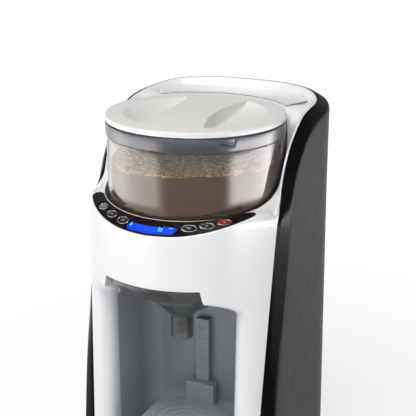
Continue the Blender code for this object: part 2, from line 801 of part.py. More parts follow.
# ---------------------------------------------------------------- hopper
hopper_bowl = turned(
    "hopper_bowl",
    [(78.5, RING_TOP), (78.5, RING_LOW - 0.4), (BOWL_R, RING_LOW - 0.4), (BOWL_R - 0.6, BOWL_FLOOR + 3.0), (BOWL_R - 3.6, BOWL_FLOOR),
     (7.6, BOWL_FLOOR), (7.6, BOWL_FLOOR + 2.6), (BOWL_R - 4.4, BOWL_FLOOR + 2.6), (BOWL_R - 0.6 - BOWL_WALL, BOWL_FLOOR + 5.0),
     (BOWL_R - BOWL_WALL, RING_LOW - 2.6), (76.2, RING_LOW), (76.2, RING_TOP)],
    CLEAR, steps=48,
)
outlet_cut = rod("outlet_cut", (0.0, -48.0), 8.0, 260.0, 282.0, BLACK, helper=True, sides=24)
notches = []
for k, a in enumerate((33.0, 153.0, 273.0)):
    notch = slab(
        f"lug_notch_{k + 1}",
        [[polar(r, a - 15.0 + 3.0 * j, 380.0) for j in range(10)] for r in (70.0, 77.9)],
        18.6, BLACK, helper=True,
    )
    notches.append(notch)
cut(hopper_bowl, outlet_cut, *notches)
lock_ring = turned("lock_ring", [(LID_R, RING_TOP - 0.6), (LID_R, RING_LOW), (78.8, RING_LOW), (78.8, RING_TOP - 0.6)], RING, steps=40)

LUG_Z = (362.6, 367.6)
hopper_lid = turned(
    "hopper_lid",
    [(0.0, LID_TOP), (LID_R - 1.2, LID_TOP), (LID_R, LID_TOP - 1.2), (LID_R, LID_TOP - 4.8), (75.2, LID_TOP - 4.8),
     (75.2, 362.2), (72.6, 362.2), (72.6, 357.6), (75.2, 357.6), (75.2, 354.6), (0.0, 354.6)],
    WHITE, steps=48,
)
lid_hollow = rod("lid_hollow", (0.0, 0.0), 9.0, 340.0, 368.0, BLACK, helper=True, sides=24)
pockets = []
for name, x in (("lid_pocket_left", -1.0), ("lid_pocket_right", 1.0)):
    bm = bmesh.new()
    bmesh.ops.create_uvsphere(bm, u_segments=18, v_segments=10, radius=1.0)
    bmesh.ops.scale(bm, vec=(27.0 * MM, 42.0 * MM, 13.4 * MM), verts=bm.verts)
    pocket = from_bmesh(name, bm, BLACK, helper=True)
    pocket.location = (x * 40.0 * MM, 0.0, 373.3 * MM)
    pockets.append(pocket)
lugs = []
for k, a in enumerate((33.0, 153.0, 273.0)):
    lug = slab(
        f"lid_lug_{k + 1}",
        [[polar(r, a - 14.0 + 2.6 * j, LUG_Z[1]) for j in range(4)] for r in (73.4, 77.4)],
        LUG_Z[1] - LUG_Z[0], BLACK, helper=True,
    )
    lugs.append(lug)
add(hopper_lid, *lugs)
cut(hopper_lid, *pockets, lid_hollow)
lid_seal = turned("lid_seal", [(75.9, 361.4), (75.9, 358.4), (73.2, 358.4), (73.2, 361.4)], SILICONE, steps=40)


# stirring wheel in the bowl, driven from below through a hexagon
def hexagon(across):
    r = across / 2 / cos(30)
    return [(r * cos(60 * k), r * sin(60 * k)) for k in range(6)]


stirrer = turned("stirring_wheel", [(0.0, 300.0), (6.0, 299.0), (10.5, 292.0), (10.5, 277.6), (0.0, 277.6)], ACETAL, steps=24)
blades = []
for k in range(3):
    blade = box(f"stir_blade_{k + 1}", (-73.0, -2.6, 278.0), (73.0, 2.6, 284.0), BLACK, helper=True)
    blade.rotation_euler = (0.0, 0.0, math.radians(60 * k + 30))
    blades.append(blade)
add(stirrer, *blades)
hex_socket = outline_solid("hex_socket", hexagon(9.4), 260.0, 289.0, BLACK, helper=True)
cut(stirrer, hex_socket)


# ---------------------------------------------------------------- drive train
def gear_outline(teeth, module, phase):
    pitch = teeth * module / 2
    tip, root_r = pitch + module * 0.9, pitch - module * 1.2
    step = 360 / teeth
    pts = []
    for k in range(teeth):
        a = phase + k * step
        for r, da in ((root_r, -0.36), (tip, -0.13), (tip, 0.13), (root_r, 0.36)):
            pts.append((r * cos(a + da * step), r * sin(a + da * step)))
    return pts


drive_gear = outline_solid("drive_gear", gear_outline(GEAR_TEETH, TOOTH, 0.0), 258.4, 264.4, ACETAL)
hex_boss = outline_solid("hex_boss", hexagon(8.6), 264.0, 287.0, BLACK, helper=True)
gear_journal = rod("gear_journal", (0.0, 0.0), 4.0, 250.0, 259.0, BLACK, helper=True, sides=24)
add(drive_gear, hex_boss, gear_journal)

PINION_Y = (GEAR_TEETH + PINION_TEETH) * TOOTH / 2 + 0.1
motor_pinion = outline_solid("motor_pinion", [(x, y) for x, y in gear_outline(PINION_TEETH, TOOTH, 15.0)], 258.6, 264.2, STEEL)
motor_pinion.location = (0.0, PINION_Y * MM, 0.0)
pinion_bore = rod("pinion_bore", (0.0, 0.0), 2.6, 250.0, 262.0, BLACK, helper=True, sides=16)
pinion_bore.location.y = PINION_Y * MM
cut(motor_pinion, pinion_bore)
gear_plate = outline_solid("gear_plate", stadium(44.0, -24.0, 62.0, 10.0, 3), 253.0, 256.0, STEEL)
journal_hole = rod("journal_hole", (0.0, 0.0), 4.3, 240.0, 270.0, BLACK, helper=True, sides=24)
motor_hole = rod("motor_hole", (0.0, PINION_Y), 8.5, 240.0, 270.0, BLACK, helper=True, sides=24)
cut(gear_plate, journal_hole, motor_hole)
drive_motor = turned(
    "drive_motor",
    [(0.0, 261.6), (2.2, 261.6), (2.2, 257.0), (8.0, 257.0), (8.0, 252.7), (18.0, 252.7), (18.0, 232.0), (6.0, 232.0), (6.0, 230.6), (0.0, 230.6)],
    STEEL, (0.0, PINION_Y), steps=24,
)

hopper_deck = turned(
    "hopper_deck",
    [(82.2, 284.0), (82.2, 270.0), (8.6, 270.0), (8.6, 273.4), (77.0, 273.4), (80.3, 276.6), (80.3, 284.0)],
    WHITE, steps=40,
)
deck_outlet = rod("deck_outlet", (0.0, -48.0), 10.4, 250.0, 280.0, BLACK, helper=True, sides=24)
cut(hopper_deck, deck_outlet)
powder_chute = turned(
    "powder_chute",
    [(8.0, 273.5), (10.0, 273.5), (10.0, 269.0), (9.4, 236.0), (7.6, 236.0), (7.8, 269.0)],
    ACETAL, (0.0, -48.0), steps=24,
)
water_spout = turned(
    "water_spout",
    [(2.0, 250.0), (4.5, 250.0), (4.5, 240.0), (3.2, 234.5), (1.6, 234.5), (2.0, 240.0)],
    SILICONE, (0.0, -24.5), steps=20,
)

# ---------------------------------------------------------------- controls
panel_lens = slab("panel_lens", panel_rows(0.0, 0.2), 2.2, PANEL)

PANEL_F = 0.5


def panel_frame(angle, f=PANEL_F):
    """Point on the control face and the frame (across, up, out) there."""
    r0, r1 = WELL_R, head_radius(angle, 290.0)
    r = r0 + (r1 - r0) * f
    z0, z1 = collar_z(angle), panel_low(angle)
    here = Vector(polar(r, angle, z0 + (z1 - z0) * f))
    fall = Vector((sin(angle) * (r1 - r0), -cos(angle) * (r1 - r0), z1 - z0)).normalized()
    across = Vector((cos(angle), sin(angle), 0.0))
    out = across.cross(-fall).normalized()
    if out.z < 0:
        out = -out
    return here, across, -fall, out


BUTTONS = (
    ("mode_button", -38.0), ("volume_button", -27.5), ("heat_button", -17.5),
    ("powder_button", 22.0), ("start_button", 31.5), ("stop_button", 41.0),
)
buttons = []
for name, angle in BUTTONS:
    here, across, up, out = panel_frame(angle)
    turn = Matrix((across, up, out)).transposed().to_4x4()
    bm = bmesh.new()
    bmesh.ops.create_cone(bm, cap_ends=True, segments=16, radius1=1.0, radius2=1.0, depth=1.0)
    bmesh.ops.scale(bm, vec=(6.5 * MM, 3.9 * MM, 5.2 * MM), verts=bm.verts)
    button = from_bmesh(name, bm, BUTTON)
    button.matrix_local = Matrix.Translation((here + out * -1.55) * MM) @ turn
    bm = bmesh.new()
    bmesh.ops.create_cone(bm, cap_ends=True, segments=16, radius1=1.0, radius2=1.0, depth=1.0)
    bmesh.ops.scale(bm, vec=(6.85 * MM, 4.25 * MM, 14 * MM), verts=bm.verts)
    hole = from_bmesh(name + "_hole", bm, BLACK, helper=True)
    hole.matrix_local = Matrix.Translation(here * MM) @ turn
    cut(panel_lens, hole)
    buttons.append(button)

window_rows = []
for f in (0.36, 0.88):
    row = []
    for k in range(9):
        a = -13.4 + (16.9 + 13.4) * k / 8 - 1.2 * (f - 0.36) * (1 if k > 4 else -1) * 0
        here, _, _, _ = panel_frame(a, f)
        row.append(tuple(here + Vector((0, 0, 3.0))))
    window_rows.append(row)
window_cut = slab("window_cut", window_rows, 12.0, BLACK, helper=True)
cut(panel_lens, window_cut)
display_rows = []
for f in (0.42, 0.80):
    row = []
    for k in range(9):
        a = -12.6 + (15.6 + 12.6) * k / 8
        here, _, _, _ = panel_frame(a, f)
        row.append(tuple(here + Vector((0, 0, 0.0))))
    display_rows.append(row)
display_module = slab("display_module", display_rows, 3.6, LCD)

board_rows = []
for f in (0.0, 1.0):
    row = []
    for k in range(19):
        a = -45.0 + 90.0 * k / 18
        here, _, _, out = panel_frame(a, 0.30 + 0.44 * f)
        row.append(tuple(here - out * 6.6))
    board_rows.append(row)
control_board = slab("control_board", board_rows, 1.8, BOARD)

# ---------------------------------------------------------------- water side
water_tank = outline_solid("water_tank", tank_outline(0.0), TANK_LOW, TANK_TOP, SMOKE)
tank_hollow = outline_solid("tank_hollow", tank_outline(2.2), TANK_LOW + 3.0, TANK_TOP + 20.0, BLACK, helper=True)
tank_port = rod("tank_port", (0.0, 99.2), 6.0, 40.0, 90.0, BLACK, helper=True, sides=24)
cut(water_tank, tank_hollow, tank_port)

tank_valve = turned(
    "tank_valve",
    [(0.0, 69.0), (8.6, 68.0), (8.6, 65.3), (4.6, 65.3), (4.2, 59.8), (0.0, 59.8)],
    SILICONE, (0.0, 99.2), steps=24,
)
tank_dock = outline_solid("tank_dock", stadium(24.0, 88.8, 109.8, 8.0, 3), 44.0, 58.6, BLACK)
dock_well = rod("dock_well", (0.0, 99.2), 7.0, 52.0, 70.0, BLACK, helper=True, sides=24)
dock_pin = rod("dock_pin", (0.0, 99.2), 2.6, 50.0, 59.2, BLACK, helper=True, sides=16)
cut(tank_dock, dock_well)
add(tank_dock, dock_pin)
tank_shelf = outline_solid("tank_shelf", tank_outline(1.0), 40.6, 43.6, BLACK)


def tank_lid_outline(inset):
    pts = []
    for a in range(228, 131, -8):
        bent = a if a <= 180 else a - 360
        pts.append(polar(WELL_R + 1.2 + inset, bent, 0)[:2])
    for a in (138, 144, 150, 156, 162, 168, 174, 180, 186, 192, 198, 204, 210, 216, 222):
        bent = a if a <= 180 else a - 360
        pts.append(rim(bent, 7.2 + inset))
    return pts


tank_lid = outline_solid("tank_lid", tank_lid_outline(0.0), LID_TOP + 0.5, LID_TOP + 3.0, WHITE)

pump = rod("water_pump", (-46.0, 44.0), 14.0, 13.0, 44.0, BLACK, sides=24)
pump_port = rod("pump_port", (-46.0, 44.0), 3.6, 43.0, 52.0, BLACK, helper=True, sides=16)
add(pump, pump_port)
heater = rod("water_heater", (40.0, 45.6), 17.0, 78.0, 190.0, ALLOY, sides=24)
heater_low = rod("heater_low", (40.0, 45.6), 3.6, 70.0, 80.0, BLACK, helper=True, sides=16)
heater_high = rod("heater_high", (40.0, 45.6), 3.6, 188.0, 198.0, BLACK, helper=True, sides=16)
add(heater, heater_low, heater_high)
heater_bracket = box("heater_bracket", (24.0, 63.0, 60.0), (54.0, 65.4, 210.0), STEEL)
heater_arm = box("heater_arm", (24.0, 60.0, 61.0), (54.0, 64.0, 64.0), BLACK, helper=True)
add(heater_bracket, heater_arm)
power_board = box("power_board", (-54.0, 63.4, 76.0), (6.0, 65.0, 190.0), BOARD)
transformer = box("power_supply", (-50.0, 40.0, 100.0), (-14.0, 63.1, 150.0), BLACK)

dock_hose = tube("dock_hose", smooth_route([(0.0, 87.9, 49.0), (0.0, 80.0, 49.0), (-14.0, 70.0, 52.0), (-34.0, 58.0, 64.0), (-44.0, 47.0, 68.0), (-46.0, 44.0, 61.0), (-46.0, 44.0, 52.6)], 18), 2.8, SILICONE)
pump_hose = tube("pump_hose", smooth_route([(-31.6, 44.0, 24.0), (-20.0, 44.0, 24.0), (10.0, 46.0, 30.0), (32.0, 45.4, 44.0), (40.0, 45.6, 60.0), (40.0, 45.6, 69.6)], 18), 2.8, SILICONE)
spout_hose = tube("spout_hose", smooth_route([(40.0, 45.6, 198.4), (42.0, 44.0, 216.0), (52.0, 30.0, 238.0), (50.0, 0.0, 246.0), (30.0, -20.0, 246.0), (10.0, -24.5, 246.0), (4.9, -24.5, 246.0)], 22), 2.6, SILICONE)

power_inlet = box("power_inlet", (35.0, 103.0, 14.0), (66.0, 121.0, 38.0), BLACK, edge=1.0)
inlet_well = box("inlet_well", (40.0, 108.0, 18.0), (61.0, 140.0, 34.0), BLACK, helper=True)
cut(power_inlet, inlet_well)
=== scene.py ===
import json
import math

import bmesh
import bpy
import numpy as np
from mathutils import Matrix, Vector, noise

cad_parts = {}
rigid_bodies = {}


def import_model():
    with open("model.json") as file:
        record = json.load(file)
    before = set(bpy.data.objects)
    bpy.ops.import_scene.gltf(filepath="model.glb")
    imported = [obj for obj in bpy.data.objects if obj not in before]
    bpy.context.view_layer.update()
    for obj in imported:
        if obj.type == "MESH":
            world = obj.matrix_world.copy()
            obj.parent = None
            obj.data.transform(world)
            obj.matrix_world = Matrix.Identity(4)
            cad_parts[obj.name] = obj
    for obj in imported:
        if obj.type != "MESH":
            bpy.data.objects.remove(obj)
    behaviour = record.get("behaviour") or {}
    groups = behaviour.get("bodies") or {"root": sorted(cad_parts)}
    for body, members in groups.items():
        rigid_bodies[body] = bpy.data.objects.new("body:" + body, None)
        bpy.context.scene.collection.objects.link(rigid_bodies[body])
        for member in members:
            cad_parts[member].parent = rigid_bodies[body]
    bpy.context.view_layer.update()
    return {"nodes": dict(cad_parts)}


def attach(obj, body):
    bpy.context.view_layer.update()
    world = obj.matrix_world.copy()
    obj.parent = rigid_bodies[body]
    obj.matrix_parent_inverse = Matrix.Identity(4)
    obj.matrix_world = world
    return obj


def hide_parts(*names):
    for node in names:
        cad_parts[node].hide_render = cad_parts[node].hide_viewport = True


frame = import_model()
NODES = frame["nodes"]
scene = bpy.context.scene

# Shapes are laid out in millimetres about the hopper's axis, which stands 7 mm in
# front of the frame's origin; -Y is the front and Z = 0 the worktop.
SHIFT_Y = -7.0
LID_TOP, LID_R, BOWL_R, BOWL_WALL, BOWL_FLOOR = 372.0, 81.0, 80.0, 2.3, 274.0
RING_LOW, RING_TOP, WELL_R = 354.3, 366.4, 82.6
HEAD_R, FLARE, SIDE_X, SEAM_X, REAR_Y, WALL = 96.0, 0.017, 97.3, 88.3, 128.0, 2.2
BAY_X, LEG_ROUND, BROW_ROUND, FLANGE_Y, BAY_TOP, BAY_BACK = 61.5, 12.0, 4.0, -42.0, 226.0, 20.0
TRAY_FRONT, NOZZLE_Y, NOZZLE_TIP = -117.0, -30.0, 165.0
TANK_FRONT, TANK_LOW, TANK_TOP, TANK_X, TANK_INSET = 87.2, 62.0, 372.1, 66.0, 9.4
LEVEL = 290.0


def sin(deg):
    return math.sin(math.radians(deg))


def cos(deg):
    return math.cos(math.radians(deg))


def m(p):
    """Millimetres about the hopper axis to metres in the frame."""
    return Vector((p[0] * 0.001, (p[1] + SHIFT_Y) * 0.001, p[2] * 0.001))


def smooth(x, low, high):
    t = min(1.0, max(0.0, (x - low) / (high - low)))
    return t * t * (3 - 2 * t)


def mix(a, b, t):
    return a + (b - a) * t


def polar(radius, angle, z):
    return (radius * sin(angle), -radius * cos(angle), z)


def spline(x, table):
    """A smooth curve through a table of (x, y), x rising, with no overshoot."""
    xs, ys = [p[0] for p in table], [p[1] for p in table]
    if x <= xs[0]:
        return ys[0]
    if x >= xs[-1]:
        return ys[-1]
    d = [(ys[i + 1] - ys[i]) / (xs[i + 1] - xs[i]) for i in range(len(xs) - 1)]
    t = [d[0]] + [0.0 if a * b <= 0 else 2 * a * b / (a + b) for a, b in zip(d, d[1:])] + [d[-1]]
    for i in range(len(xs) - 1):
        if x <= xs[i + 1]:
            h = xs[i + 1] - xs[i]
            s = (x - xs[i]) / h
            return (ys[i] * (2 * s ** 3 - 3 * s * s + 1) + ys[i + 1] * (3 * s * s - 2 * s ** 3)
                    + t[i] * h * (s ** 3 - 2 * s * s + s) + t[i + 1] * h * (s ** 3 - s * s))


# ------------------------------------------------------------------ materials
def principled(name, colour, rough, metallic=0.0, coat=0.0, coat_rough=0.03, ior=1.47, transmission=0.0, alpha=1.0,
               emission=None, emission_strength=0.0, subsurface=0.0, specular=0.5):
    mat = bpy.data.materials.new(name)
    mat.use_nodes = True
    shader = mat.node_tree.nodes["Principled BSDF"]
    shader.inputs["Base Color"].default_value = (*colour, 1.0)
    shader.inputs["Roughness"].default_value = rough
    shader.inputs["Metallic"].default_value = metallic
    shader.inputs["Coat Weight"].default_value = coat
    shader.inputs["Coat Roughness"].default_value = coat_rough
    shader.inputs["IOR"].default_value = ior
    shader.inputs["Transmission Weight"].default_value = transmission
    shader.inputs["Alpha"].default_value = alpha
    shader.inputs["Specular IOR Level"].default_value = specular
    shader.inputs["Subsurface Weight"].default_value = subsurface
    if emission:
        shader.inputs["Emission Color"].default_value = (*emission, 1.0)
        shader.inputs["Emission Strength"].default_value = emission_strength
    return mat


def coords(mat, scale=(1, 1, 1)):
    tree = mat.node_tree
    where = tree.nodes.new("ShaderNodeTexCoord")
    mapping = tree.nodes.new("ShaderNodeMapping")
    mapping.inputs["Scale"].default_value = scale
    tree.links.new(where.outputs["Object"], mapping.inputs["Vector"])
    return mapping.outputs["Vector"]


def noise_node(mat, vector, scale, detail=3.0, rough=0.5):
    node = mat.node_tree.nodes.new("ShaderNodeTexNoise")
    node.inputs["Scale"].default_value = scale
    node.inputs["Detail"].default_value = detail
    node.inputs["Roughness"].default_value = rough
    mat.node_tree.links.new(vector, node.inputs["Vector"])
    return node.outputs["Fac"]


def ramp(mat, value, stops):
    node = mat.node_tree.nodes.new("ShaderNodeValToRGB")
    while len(node.color_ramp.elements) < len(stops):
        node.color_ramp.elements.new(0.5)
    for e, (pos, colour) in zip(node.color_ramp.elements, stops):
        e.position = pos
        e.color = (*colour, 1.0) if len(colour) == 3 else colour
    mat.node_tree.links.new(value, node.inputs["Fac"])
    return node.outputs["Color"]


def into(mat, value, socket):
    mat.node_tree.links.new(value, mat.node_tree.nodes["Principled BSDF"].inputs[socket])


def bump(mat, value, strength, distance):
    node = mat.node_tree.nodes.new("ShaderNodeBump")
    node.inputs["Strength"].default_value = strength
    node.inputs["Distance"].default_value = distance
    mat.node_tree.links.new(value, node.inputs["Height"])
    into(mat, node.outputs["Normal"], "Normal")
    return node


def grey(v):
    return (v, v, v)


def plastic(name, colour, rough, wear=0.03, grain=0.0, grain_scale=1800.0, **more):
    """Moulded plastic: faint colour drift, rubbed roughness and a fine mould grain."""
    mat = principled(name, colour, rough, **more)
    vec = coords(mat)
    broad = noise_node(mat, vec, 14.0, 4.0)
    into(mat, ramp(mat, broad, [(0.3, tuple(c * (1 - wear) for c in colour)), (0.7, tuple(min(1.0, c * (1 + wear * 0.6)) for c in colour))]), "Base Color")
    fine = noise_node(mat, vec, 65.0, 6.0, 0.6)
    into(mat, ramp(mat, fine, [(0.3, grey(max(0.0, rough - 0.03))), (0.75, grey(rough + 0.05))]), "Roughness")
    if grain:
        bump(mat, noise_node(mat, vec, grain_scale, 2.0), grain, 0.0002)
    return mat


WHITE = plastic("white_gloss", (0.84, 0.85, 0.865), 0.16, wear=0.01, grain=0.02, coat=0.25, coat_rough=0.06)
LID_WHITE = plastic("lid_white", (0.80, 0.795, 0.775), 0.34, wear=0.01, grain=0.05, grain_scale=2400.0)
CHARCOAL = plastic("charcoal_satin", (0.020, 0.020, 0.0205), 0.38, wear=0.06, grain=0.05, grain_scale=2600.0, specular=0.09)
BLACK_GLOSS = plastic("bevel_black", (0.0045, 0.0045, 0.005), 0.26, wear=0.1, specular=0.07)
BLACK = plastic("black_moulded", (0.018, 0.018, 0.019), 0.45, wear=0.08, grain=0.15)
LINER = plastic("bay_grey", (0.34, 0.36, 0.375), 0.30, wear=0.02, grain=0.03)
RUBBER = plastic("foot_rubber", (0.035, 0.035, 0.037), 0.75, wear=0.1, grain=0.4, grain_scale=1200.0)
ACETAL = plastic("acetal", (0.78, 0.78, 0.75), 0.38, wear=0.02, grain=0.08)
SILICONE = plastic("silicone", (0.72, 0.74, 0.74), 0.5, wear=0.02, grain=0.1, subsurface=0.15)
PANEL = principled("panel_gloss", (0.010, 0.0065, 0.006), 0.08, specular=0.3)
pv = coords(PANEL)
into(PANEL, ramp(PANEL, noise_node(PANEL, pv, 90.0, 5.0), [(0.35, grey(0.045)), (0.7, grey(0.085))]), "Roughness")
KEY = principled("key_black", (0.010, 0.009, 0.009), 0.14, coat=0.3)
kv = coords(KEY)
into(KEY, ramp(KEY, noise_node(KEY, kv, 160.0, 5.0), [(0.35, grey(0.11)), (0.7, grey(0.19))]), "Roughness")


def metal(name, colour, rough, streak=(1, 1, 1), amount=0.1, scale=120.0):
    mat = principled(name, colour, rough, metallic=1.0)
    vec = coords(mat, streak)
    lines = noise_node(mat, vec, scale, 4.0, 0.65)
    into(mat, ramp(mat, lines, [(0.3, grey(max(0.02, rough - amount))), (0.7, grey(rough + amount))]), "Roughness")
    into(mat, ramp(mat, lines, [(0.25, tuple(c * 0.86 for c in colour)), (0.75, colour)]), "Base Color")
    return mat


STEEL = metal("zinc_steel", (0.56, 0.56, 0.57), 0.30)
ALLOY = metal("cast_alloy", (0.60, 0.60, 0.61), 0.46, amount=0.12, scale=400.0)
SILVER = metal("key_rim_silver", (0.55, 0.54, 0.53), 0.22, amount=0.06, scale=900.0)
RIM_GREEN = metal("key_rim_green", (0.22, 0.34, 0.12), 0.25, amount=0.06, scale=900.0)
KEY_RED = principled("key_red", (0.30, 0.012, 0.018), 0.14, coat=0.3)
yv = coords(KEY_RED)
into(KEY_RED, ramp(KEY_RED, noise_node(KEY_RED, yv, 160.0, 5.0), [(0.35, grey(0.11)), (0.7, grey(0.19))]), "Roughness")

# the lock ring: translucent blue-grey with fine lines that run round it
RING = principled("lock_ring_grey", (0.07, 0.082, 0.09), 0.17, metallic=0.04, coat=0.25, coat_rough=0.05, specular=0.45)
rv = coords(RING, (1.0, 1.0, 60.0))
lines = noise_node(RING, rv, 26.0, 5.0, 0.6)
into(RING, ramp(RING, lines, [(0.25, (0.048, 0.060, 0.068)), (0.5, (0.072, 0.086, 0.095)), (0.8, (0.11, 0.128, 0.138))]), "Base Color")
into(RING, ramp(RING, lines, [(0.3, grey(0.15)), (0.7, grey(0.27))]), "Roughness")

# clear moulded plastic: a thin skin that shows what is behind it and catches the lights
CLEAR = principled("clear_plastic", (0.985, 0.985, 0.98), 0.045, ior=1.49, transmission=1.0)
cv = coords(CLEAR, (1, 1, 1))
into(CLEAR, ramp(CLEAR, noise_node(CLEAR, cv, 40.0, 5.0), [(0.35, grey(0.03)), (0.75, grey(0.07))]), "Roughness")
SMOKE = principled("smoke_plastic", (0.33, 0.345, 0.35), 0.10, ior=1.47, transmission=0.86)
sv = coords(SMOKE)
into(SMOKE, ramp(SMOKE, noise_node(SMOKE, sv, 50.0, 5.0), [(0.35, grey(0.08)), (0.75, grey(0.14))]), "Roughness")
WINDOW = principled("window_smoke", (0.10, 0.11, 0.12), 0.08, transmission=0.5, coat=0.3)
wv = coords(WINDOW)
into(WINDOW, ramp(WINDOW, noise_node(WINDOW, wv, 60.0, 4.0), [(0.35, grey(0.06)), (0.75, grey(0.12))]), "Roughness")

# powder: pressed smooth against the wall, in crumbs on top with painted shade in their hollows
POWDER = principled("formula_powder", (0.66, 0.55, 0.44), 0.9, specular=0.15, subsurface=0.0)
ov = coords(POWDER)
crumbs = noise_node(POWDER, ov, 330.0, 5.0, 0.7)
patches = noise_node(POWDER, ov, 60.0, 4.0, 0.6)
mixer = POWDER.node_tree.nodes.new("ShaderNodeMix")
mixer.data_type = "RGBA"
mixer.blend_type = "MULTIPLY"
mixer.inputs["Factor"].default_value = 0.75
# the darker stops of this ramp are painted shade: they follow the crumb bump's own noise, so the hollows between crumbs
# go dark brown; the golden stop is the powder's own colour
POWDER.node_tree.links.new(ramp(POWDER, crumbs, [(0.38, (0.08, 0.036, 0.006)), (0.50, (0.36, 0.205, 0.055)), (0.62, (0.88, 0.66, 0.30))]), mixer.inputs["A"])
POWDER.node_tree.links.new(ramp(POWDER, patches, [(0.3, grey(0.72)), (0.7, grey(1.0))]), mixer.inputs["B"])
into(POWDER, mixer.outputs["Result"], "Base Color")
bump(POWDER, crumbs, 0.9, 0.0012)
# the pressed powder's dark brown is painted shade: the powder pressed against the wall is pale, and this colour stands
# in for the shade and dark reflection on it
PRESSED_PAINTED_SHADE = principled("powder_pressed", (0.30, 0.215, 0.15), 0.75, specular=0.2)
qv = coords(PRESSED_PAINTED_SHADE, (1, 1, 2.2))
into(PRESSED_PAINTED_SHADE, ramp(PRESSED_PAINTED_SHADE, noise_node(PRESSED_PAINTED_SHADE, qv, 45.0, 6.0, 0.6), [(0.25, (0.075, 0.037, 0.015)), (0.75, (0.115, 0.062, 0.03))]), "Base Color")
bump(PRESSED_PAINTED_SHADE, noise_node(PRESSED_PAINTED_SHADE, qv, 700.0, 3.0), 0.08, 0.0002)

BOARD = principled("circuit_board", (0.012, 0.11, 0.045), 0.4, coat=0.3)
bv = coords(BOARD, (1, 1, 1))
into(BOARD, ramp(BOARD, noise_node(BOARD, bv, 500.0, 1.0), [(0.46, (0.010, 0.085, 0.035)), (0.52, (0.02, 0.17, 0.07))]), "Base Color")
LCD = principled("display_blue", (0.004, 0.02, 0.35), 0.14, specular=0.25, emission=(0.006, 0.07, 0.86), emission_strength=0.95)
lv = coords(LCD, (1, 1, 1))
into(LCD, ramp(LCD, noise_node(LCD, lv, 30.0, 2.0), [(0.3, (0.004, 0.055, 0.80)), (0.7, (0.010, 0.085, 0.92))]), "Emission Color")
LCD_LIGHT = principled("display_marks", (0.1, 0.5, 0.9), 0.3, emission=(0.10, 0.60, 0.98), emission_strength=0.9)
gv = coords(LCD_LIGHT)
into(LCD_LIGHT, ramp(LCD_LIGHT, noise_node(LCD_LIGHT, gv, 60.0, 2.0), [(0.3, (0.08, 0.52, 0.95)), (0.7, (0.14, 0.66, 1.0))]), "Emission Color")
PRINT = plastic("key_print", (0.42, 0.41, 0.40), 0.5, wear=0.05)


# ------------------------------------------------------------------ mesh tools
def finish_mesh(name, bm, mats, body, slot=None, replaces=(), sharp=38.0, weld=1e-6, out=None, smooth_faces=True):
    if weld:
        bmesh.ops.remove_doubles(bm, verts=bm.verts, dist=weld)
    bmesh.ops.dissolve_degenerate(bm, dist=1e-7, edges=bm.edges)
    bmesh.ops.recalc_face_normals(bm, faces=bm.faces)
    if out is not None:
        d = Vector(out)
        bm.faces.ensure_lookup_table()
        best = max(bm.faces, key=lambda f: f.calc_center_median().dot(d))
        if best.normal.dot(d) < 0:
            bmesh.ops.reverse_faces(bm, faces=bm.faces)
    mesh = bpy.data.meshes.new(name)
    bm.to_mesh(mesh)
    bm.free()
    if smooth_faces:
        mesh.shade_smooth()
        mesh.set_sharp_from_angle(angle=math.radians(sharp))
    for mat in (mats if isinstance(mats, (list, tuple)) else [mats]):
        mesh.materials.append(mat)
    obj = bpy.data.objects.new(name, mesh)
    scene.collection.objects.link(obj)
    if body:
        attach(obj, body)
    if replaces:
        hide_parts(*replaces)
    return obj


def weave(bm, rows, loop=False, cap_first=False, cap_last=False, index=0):
    """Faces between rows of points in millimetres."""
    grid = [[bm.verts.new(m(p)) for p in row] for row in rows]
    for low, high in zip(grid, grid[1:]):
        n = len(low)
        for j in range(n if loop else n - 1):
            face = bm.faces.new((low[j], low[(j + 1) % n], high[(j + 1) % n], high[j]))
            face.material_index = index
    if cap_first:
        bm.faces.new(grid[0][::-1]).material_index = index
    if cap_last:
        bm.faces.new(grid[-1]).material_index = index
    return grid


def skin(name, rows, mats, body, thick=None, loop=False, out=None, offset=-1.0, **more):
    bm = bmesh.new()
    weave(bm, rows, loop)
    obj = finish_mesh(name, bm, mats, body, out=out, **more)
    if thick:
        solidify(obj, thick, offset)
    return obj


def solidify(obj, thick, offset=-1.0):
    mod = obj.modifiers.new("wall", "SOLIDIFY")
    mod.thickness = thick * 0.001
    mod.offset = offset
    mod.use_even_offset = True
    mod.use_quality_normals = True
    return obj


def lathe(name, profile, mats, body, centre=(0.0, 0.0), steps=128, closed=True, **more):
    """A closed profile of (radius, z) turned about a vertical axis."""
    rows = []
    for r, z in profile + ([profile[0]] if closed else []):
        rows.append([(centre[0] + r * cos(360 * k / steps), centre[1] + r * sin(360 * k / steps), z) for k in range(steps)])
    bm = bmesh.new()
    weave(bm, rows, loop=True)
    return finish_mesh(name, bm, mats, body, **more)


def fillet(points, sizes, n=6):
    """A polyline with its inner corners rounded, always with the same number of points."""
    out = [points[0]]
    for i in range(1, len(points) - 1):
        a, b, c = (np.array(p, float) for p in points[i - 1:i + 2])
        la, lc = np.linalg.norm(a - b), np.linalg.norm(c - b)
        d = min(sizes[i - 1], 0.48 * la, 0.48 * lc)
        p0 = b + (a - b) * (d / la if la > 1e-9 else 0)
        p2 = b + (c - b) * (d / lc if lc > 1e-9 else 0)
        for k in range(n + 1):
            t = k / n
            out.append(tuple((1 - t) ** 2 * p0 + 2 * t * (1 - t) * b + t * t * p2))
    out.append(points[-1])
    return out


def bevel(obj, width, segments=3, angle=35.0):
    mod = obj.modifiers.new("edges", "BEVEL")
    mod.width = width * 0.001
    mod.segments = segments
    mod.limit_method = "ANGLE"
    mod.angle_limit = math.radians(angle)
    mod.harden_normals = False
    return obj


def cutter(name, build):
    bm = bmesh.new()
    build(bm)
    bmesh.ops.recalc_face_normals(bm, faces=bm.faces)
    mesh = bpy.data.meshes.new(name)
    bm.to_mesh(mesh)
    bm.free()
    obj = bpy.data.objects.new(name, mesh)
    scene.collection.objects.link(obj)
    return obj


